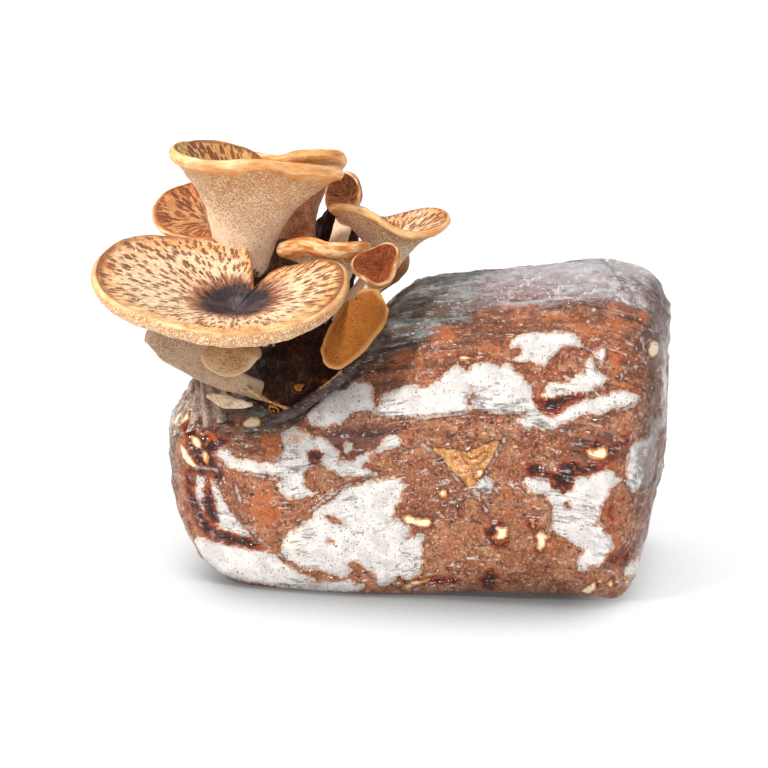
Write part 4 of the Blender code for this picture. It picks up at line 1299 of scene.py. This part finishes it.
    # The grey fold and wrinkle lines are painted shade in the wrinkles of the film over the skins.
    skin = skin.coat(folded * 0.45, (196, 188, 184)).coat(wrinkled * 0.55, (130, 118, 114))
    skin = skin.coat(fine.fade(0.42, 0.3, 0, 0.4), (170, 158, 152))
    rim = (white_distance / place.noise(9, 4, 0.7).fade(0.46, 0.66, 0.15, 3.6)).fade(1, 0.25)
    rim_tone = place.noise(3, 3).fade(0.38, 0.52).between((240, 208, 166), (188, 100, 46))
    skin = skin.coat(rim * 0.85, rim_tone).coat(rust * 0.85, (206, 126, 54))
    shadow = white_distance.fade(-1.6, -0.2, 0, 0.8) * mid.fade(0.4, 0.6)
    colour = colour.coat(shadow, (76, 36, 24)).coat(white, skin)

    shoulder = (tall + tear * 22).fade(82, 88) * (along + tear * 30).fade(-84, -92)
    pull = (place * (1, 1, 0.25)).noise(3, 4, 0.65, 0.5)
    dusty = pull.fade(0.4, 0.6).between((60, 36, 28), (144, 98, 78))
    dusty = dusty.coat(place.noise(8, 3).fade(0.52, 0.6, 0, 0.7), (184, 116, 86))
    dusty = dusty.coat(fine.fade(0.46, 0.34, 0, 0.8), (50, 34, 28))
    colour = colour.coat(shoulder * 0.9, dusty)
    # Both ends of the block are darker: grey-brown with pale flecks.
    ends = along + (tear * 26 + frayed * 6)
    dark_ends = ends.fade(-127, -130).at_least(ends.fade(129, 133) * 0.8)
    dark_end_tone = drag.fade(0.4, 0.6).between((48, 28, 22), (124, 82, 62))
    dark_end_tone = dark_end_tone.coat(fine.fade(0.55, 0.68), (206, 178, 156))
    colour = colour.coat(dark_ends * 0.9, dark_end_tone)
    stain, stain_distance = layer("stain", 0.7, 0.15, 1.5)
    wet = stain_distance.fade(0, 1.5).between((130, 44, 16), (40, 8, 8))
    wet = wet.coat(place.noise(4, 4, 0.7).fade(0.56, 0.62, 0, 0.85), (176, 84, 28))
    wet = wet.coat(fine.fade(0.61, 0.7, 0, 0.5), (226, 176, 140))
    colour = colour.coat(stain_distance.fade(-2.4, -0.4, 0, 0.6), (168, 84, 38)).coat(stain * 0.97, wet)
    cream, cream_distance = layer("cream", 0.5, 0.2, 0.5)
    crumb = cream_distance.fade(1.1, 0).between((255, 238, 202), (206, 128, 56))
    colour = colour.coat(cream_distance.fade(-2, -0.2, 0, 0.8), (66, 30, 18)).coat(cream, crumb)
    # The film's creases are painted: a band of shade beside each crease and a thin highlight along it.
    line, broken = net.number("crease") + tear * 1.8, place.noise(7, 3).fade(0.42, 0.52)
    colour = colour.coat(line.fade(-2.2, -1.2) * (broken * 0.6), (70, 40, 34))
    colour = colour.coat(line.fade(-0.9, -0.45) * (broken * 0.55), (226, 214, 208))
    glints = ridges(drawn, 6, 0.01, 5, 1.2) * place.noise(6, 3).fade(0.5, 0.56)
    colour = colour.coat(glints * 0.8, (250, 248, 248))

    height = fine * 0.7 + mid * 0.9 + white * white_distance.fade(0, 1.6, 0.3, 0.75)
    height = height - wrinkled * white * 0.9 + cream * 0.8 + streaks * haze * 1.6 - ochre * 1.5
    surface = {"Base Color": colour, "Normal": height.bump(1.1), "Roughness": stain.fade(0.2, 0.8, 0.7, 0.2)}
    return net.dress({**surface, "Specular IOR Level": 0.2})


block = tube(BLOCK_RINGS, {name: values.tolist() for name, values in MARKS.items()})
finish(block, "sawdust_block", sawdust_finish(), "substrate", "substrate_block")

# %% [markdown]
# The film is a thin clear skin drawn round the block. It clings to the front and stands off in crinkles
# elsewhere, so its mesh is the block's own grid pushed out by a little more than a millimetre, with folds
# from noise that are pulled out along the block. Under the block it is pressed flat by the weight, and round
# the clump it is cut away.

# %% The film as a skin round the block
FILM_OFF, FILM_LIFT, OPENING_MARGIN = 1.3, 0.4, 2.5
LOOSE_ABOVE, LOOSE_LEFT, LOOSE_RIGHT = 96, -100, 100
CLINGING, LOOSEST, FOLD_STRETCH = 0.3, 1.6, 0.45


def outside_clump(point):
    """How far a point lies outside the clump, in millimetres, measured from the clump's centre."""
    way = point - CLUMP_CENTRE
    return way.length - clump_reach(way.normalized())


def film_reach(point):
    """How far the film stands off the block at one place: it is loose above and at both ends."""
    drawn = Vector((point.x * FOLD_STRETCH, point.y, point.z))
    loose = smooth((point.z - LOOSE_ABOVE) / 26) + 0.9 * smooth((LOOSE_LEFT - point.x) / 26)
    loose += LOOSEST * smooth((point.x - LOOSE_RIGHT) / 24)
    fold = crumple(drawn, 15, 11) * 1.1 + crumple(drawn, 6, 3) * 0.6
    return FILM_OFF + ((CLINGING + min(LOOSEST, loose)) * fold + 0.2 * grain(point, 5, 1))


def film_mesh():
    """The block's rings pushed out, pressed flat below, and open where the clump comes out."""
    bm = swell(tube(BLOCK_RINGS, {"crease": MARKS["crease"].tolist()}), film_reach)
    for vert in bm.verts:
        vert.co.z = max(vert.co.z, FILM_LIFT)
    inner = {v for v in bm.verts if outside_clump(v.co) < OPENING_MARGIN + 2 * grain(v.co, 9, 2)}
    cut = [face for face in bm.faces if all(v in inner for v in face.verts)]
    bmesh.ops.delete(bm, geom=cut, context="FACES")
    return bm


def film_finish():
    """Clear film. Shadow and bounce rays pass through it, so that the block inside stays lit."""
    net = Finish("clear_crinkled_film")
    drawn = bent_lines(net.place())
    height = ridges(drawn, 8, 0.1, 3, 1.2) + ridges(drawn, 3.5, 0.09, 2) * 0.35
    height = height + net.number("crease").fade(-1.8, -0.2, 0, 1.5)
    clear = {"Base Color": (0.99, 0.99, 1, 1), "Roughness": 0.03, "IOR": 1.3, "Transmission Weight": 1}
    net.dress({**clear, "Normal": height.bump(0.6)})
    shadow, bounce = net.add("LightPath", None, "Is Shadow Ray", "Is Diffuse Ray")
    film, through = Field(net, net.shader.outputs[0]), net.add("BsdfTransparent")
    mixed = net.add("MixShader", {0: shadow.at_least(bounce), 1: film, 2: through})
    net.lead(mixed, net.tree.nodes["Material Output"].inputs["Surface"])
    return net.material


finish(film_mesh(), "clear_film", film_finish(), "film", "bag")

# %% [markdown]
# At the left shoulder the bag's mouth was gathered: its film runs up in pleats to a twisted tip, greyed by
# the dust that it caught. Along the cut, the edge of the film has rolled up into a dark ribbon with torn
# strands beside it, and a torn flap of cream skin still clings to it. Each is a tube along a short line.

# %% The gather, the rolled edge and the strands
def loose_film_finish(name, deep, light, gloss, along):
    """Crumpled film or skin: its folds' two tones, its glints, and the scales that draw the folds out."""
    net = Finish(name)
    drawn = net.place() * along
    folds, fine = drawn.noise(4, 5, 0.7, 0.6), drawn.noise(1.1, 3, 0.7)
    colour = folds.fade(0.36, 0.62).between(deep, light).coat(fine.fade(0.55, 0.68), gloss)
    colour = colour.coat(fine.fade(0.45, 0.3, 0, 0.8), tuple(value // 2 for value in deep))
    height = folds + fine * 0.5
    return net.dress({"Base Color": colour, "Normal": height.bump(2), "Roughness": fine.fade(0.3, 0.7, 0.2, 0.5)})


GATHER_FOOT, GATHER_TIP = Vector((-113, -40, 90)), Vector((-121.5, -38, 116))
GATHER_SHARES, GATHER_SIZES = (0, 0.25, 0.5, 0.75, 0.92, 1), (26, 20.5, 14.5, 9.5, 6.5, 3)
GATHER_PLEATS, GATHER_COLUMNS, GATHER_ROWS = 15, 240, 60
GATHER_CLOSE = 0.6


def gather_rows():
    """Pleated rings from the foot to the tip, closed at both ends."""
    axis = (GATHER_TIP - GATHER_FOOT).normalized()
    side = axis.cross(Vector((0, 1, 0))).normalized()
    rise = side.cross(axis)
    turns = [2 * pi * c / GATHER_COLUMNS for c in range(GATHER_COLUMNS)]
    rows = [[GATHER_FOOT] * GATHER_COLUMNS]
    for i in range(GATHER_ROWS + 1):
        share = i / GATHER_ROWS
        size = float(np.interp(share, GATHER_SHARES, GATHER_SIZES))
        centre, ring = GATHER_FOOT.lerp(GATHER_TIP, share), []
        for a in turns:
            way = side * cos(a) + rise * sin(a)
            pleat = cos(GATHER_PLEATS * a + 3 * share + 2.5 * grain(way * 30, 20, 3))
            wander = grain(way * 20 + axis * share * 20, 9, 8)
            ring.append(centre + way * size * (1 + 0.11 * pleat + 0.16 * wander))
        rows.append(ring)
    return rows + [[GATHER_TIP + axis * GATHER_CLOSE] * GATHER_COLUMNS]


STRAPS = {
    "rolled_film_edge": [
        (-72, -69, 99, 2, 1.4), (-65, -68.5, 102, 3, 2.2), (-56, -66.5, 107, 3.2, 2.2),
        (-48, -64.5, 113, 3.4, 2.4), (-38, -62, 120, 3.2, 2.2), (-30, -60, 127, 2.8, 2), (-24, -57, 134, 1.8, 1.2),
    ],
    "torn_flap": [
        (-110, -64, 111, 1.2, 0.7), (-105, -65, 109.5, 2.8, 0.8), (-98, -66, 108, 3.8, 0.9),
        (-91, -66, 107, 2.6, 0.9), (-84, -66, 107, 1.2, 0.7),
    ],
    "long_strand": [
        (-92, -64, 119, 0.5, 0.5), (-86, -65, 116, 0.9, 0.7), (-78, -66.5, 111.5, 1.2, 0.8),
        (-71, -67, 108.5, 1, 0.8), (-63, -67.5, 106, 0.9, 0.7), (-58, -67.5, 104.5, 0.5, 0.5),
    ],
    "short_strand": [
        (-60, -68, 104, 0.6, 0.5), (-53, -66.5, 110.5, 1, 0.7), (-47, -65, 115.5, 0.9, 0.7),
        (-41, -63, 120.5, 0.8, 0.6), (-34, -61, 127, 0.5, 0.5),
    ],
}
STRAP_FACE, STRAP_COLUMNS = (0, -1, 0.5), 48
GREY_FILM = loose_film_finish("dusty_gathered_film", (128, 102, 86), (208, 182, 164), (246, 238, 230), (1, 1, 0.3))
DARK_FILM = loose_film_finish("dark_rolled_film", (50, 32, 30), (86, 60, 56), (158, 136, 132), (0.4, 1, 0.6))
TORN_SKIN = loose_film_finish("torn_tan_skin", (150, 98, 58), (206, 160, 106), (242, 212, 164), (0.6, 1, 1))
PALE_SKIN = loose_film_finish("torn_cream_skin", (214, 172, 128), (248, 226, 192), (255, 244, 224), (0.6, 1, 1))
STRAP_SKINS = {"rolled_film_edge": DARK_FILM, "torn_flap": PALE_SKIN}
finish(tube(gather_rows()), "gathered_film", GREY_FILM, "film", "bag")
for name, line in STRAPS.items():
    bm = tongue(line, STRAP_FACE, STRAP_COLUMNS)
    swell(bm, lambda point: 0.7 * grain(point, 4, 6) + 0.3 * grain(point, 1.8, 2))
    finish(bm, name, STRAP_SKINS.get(name, TORN_SKIN), "film", "bag")

# %% [markdown]
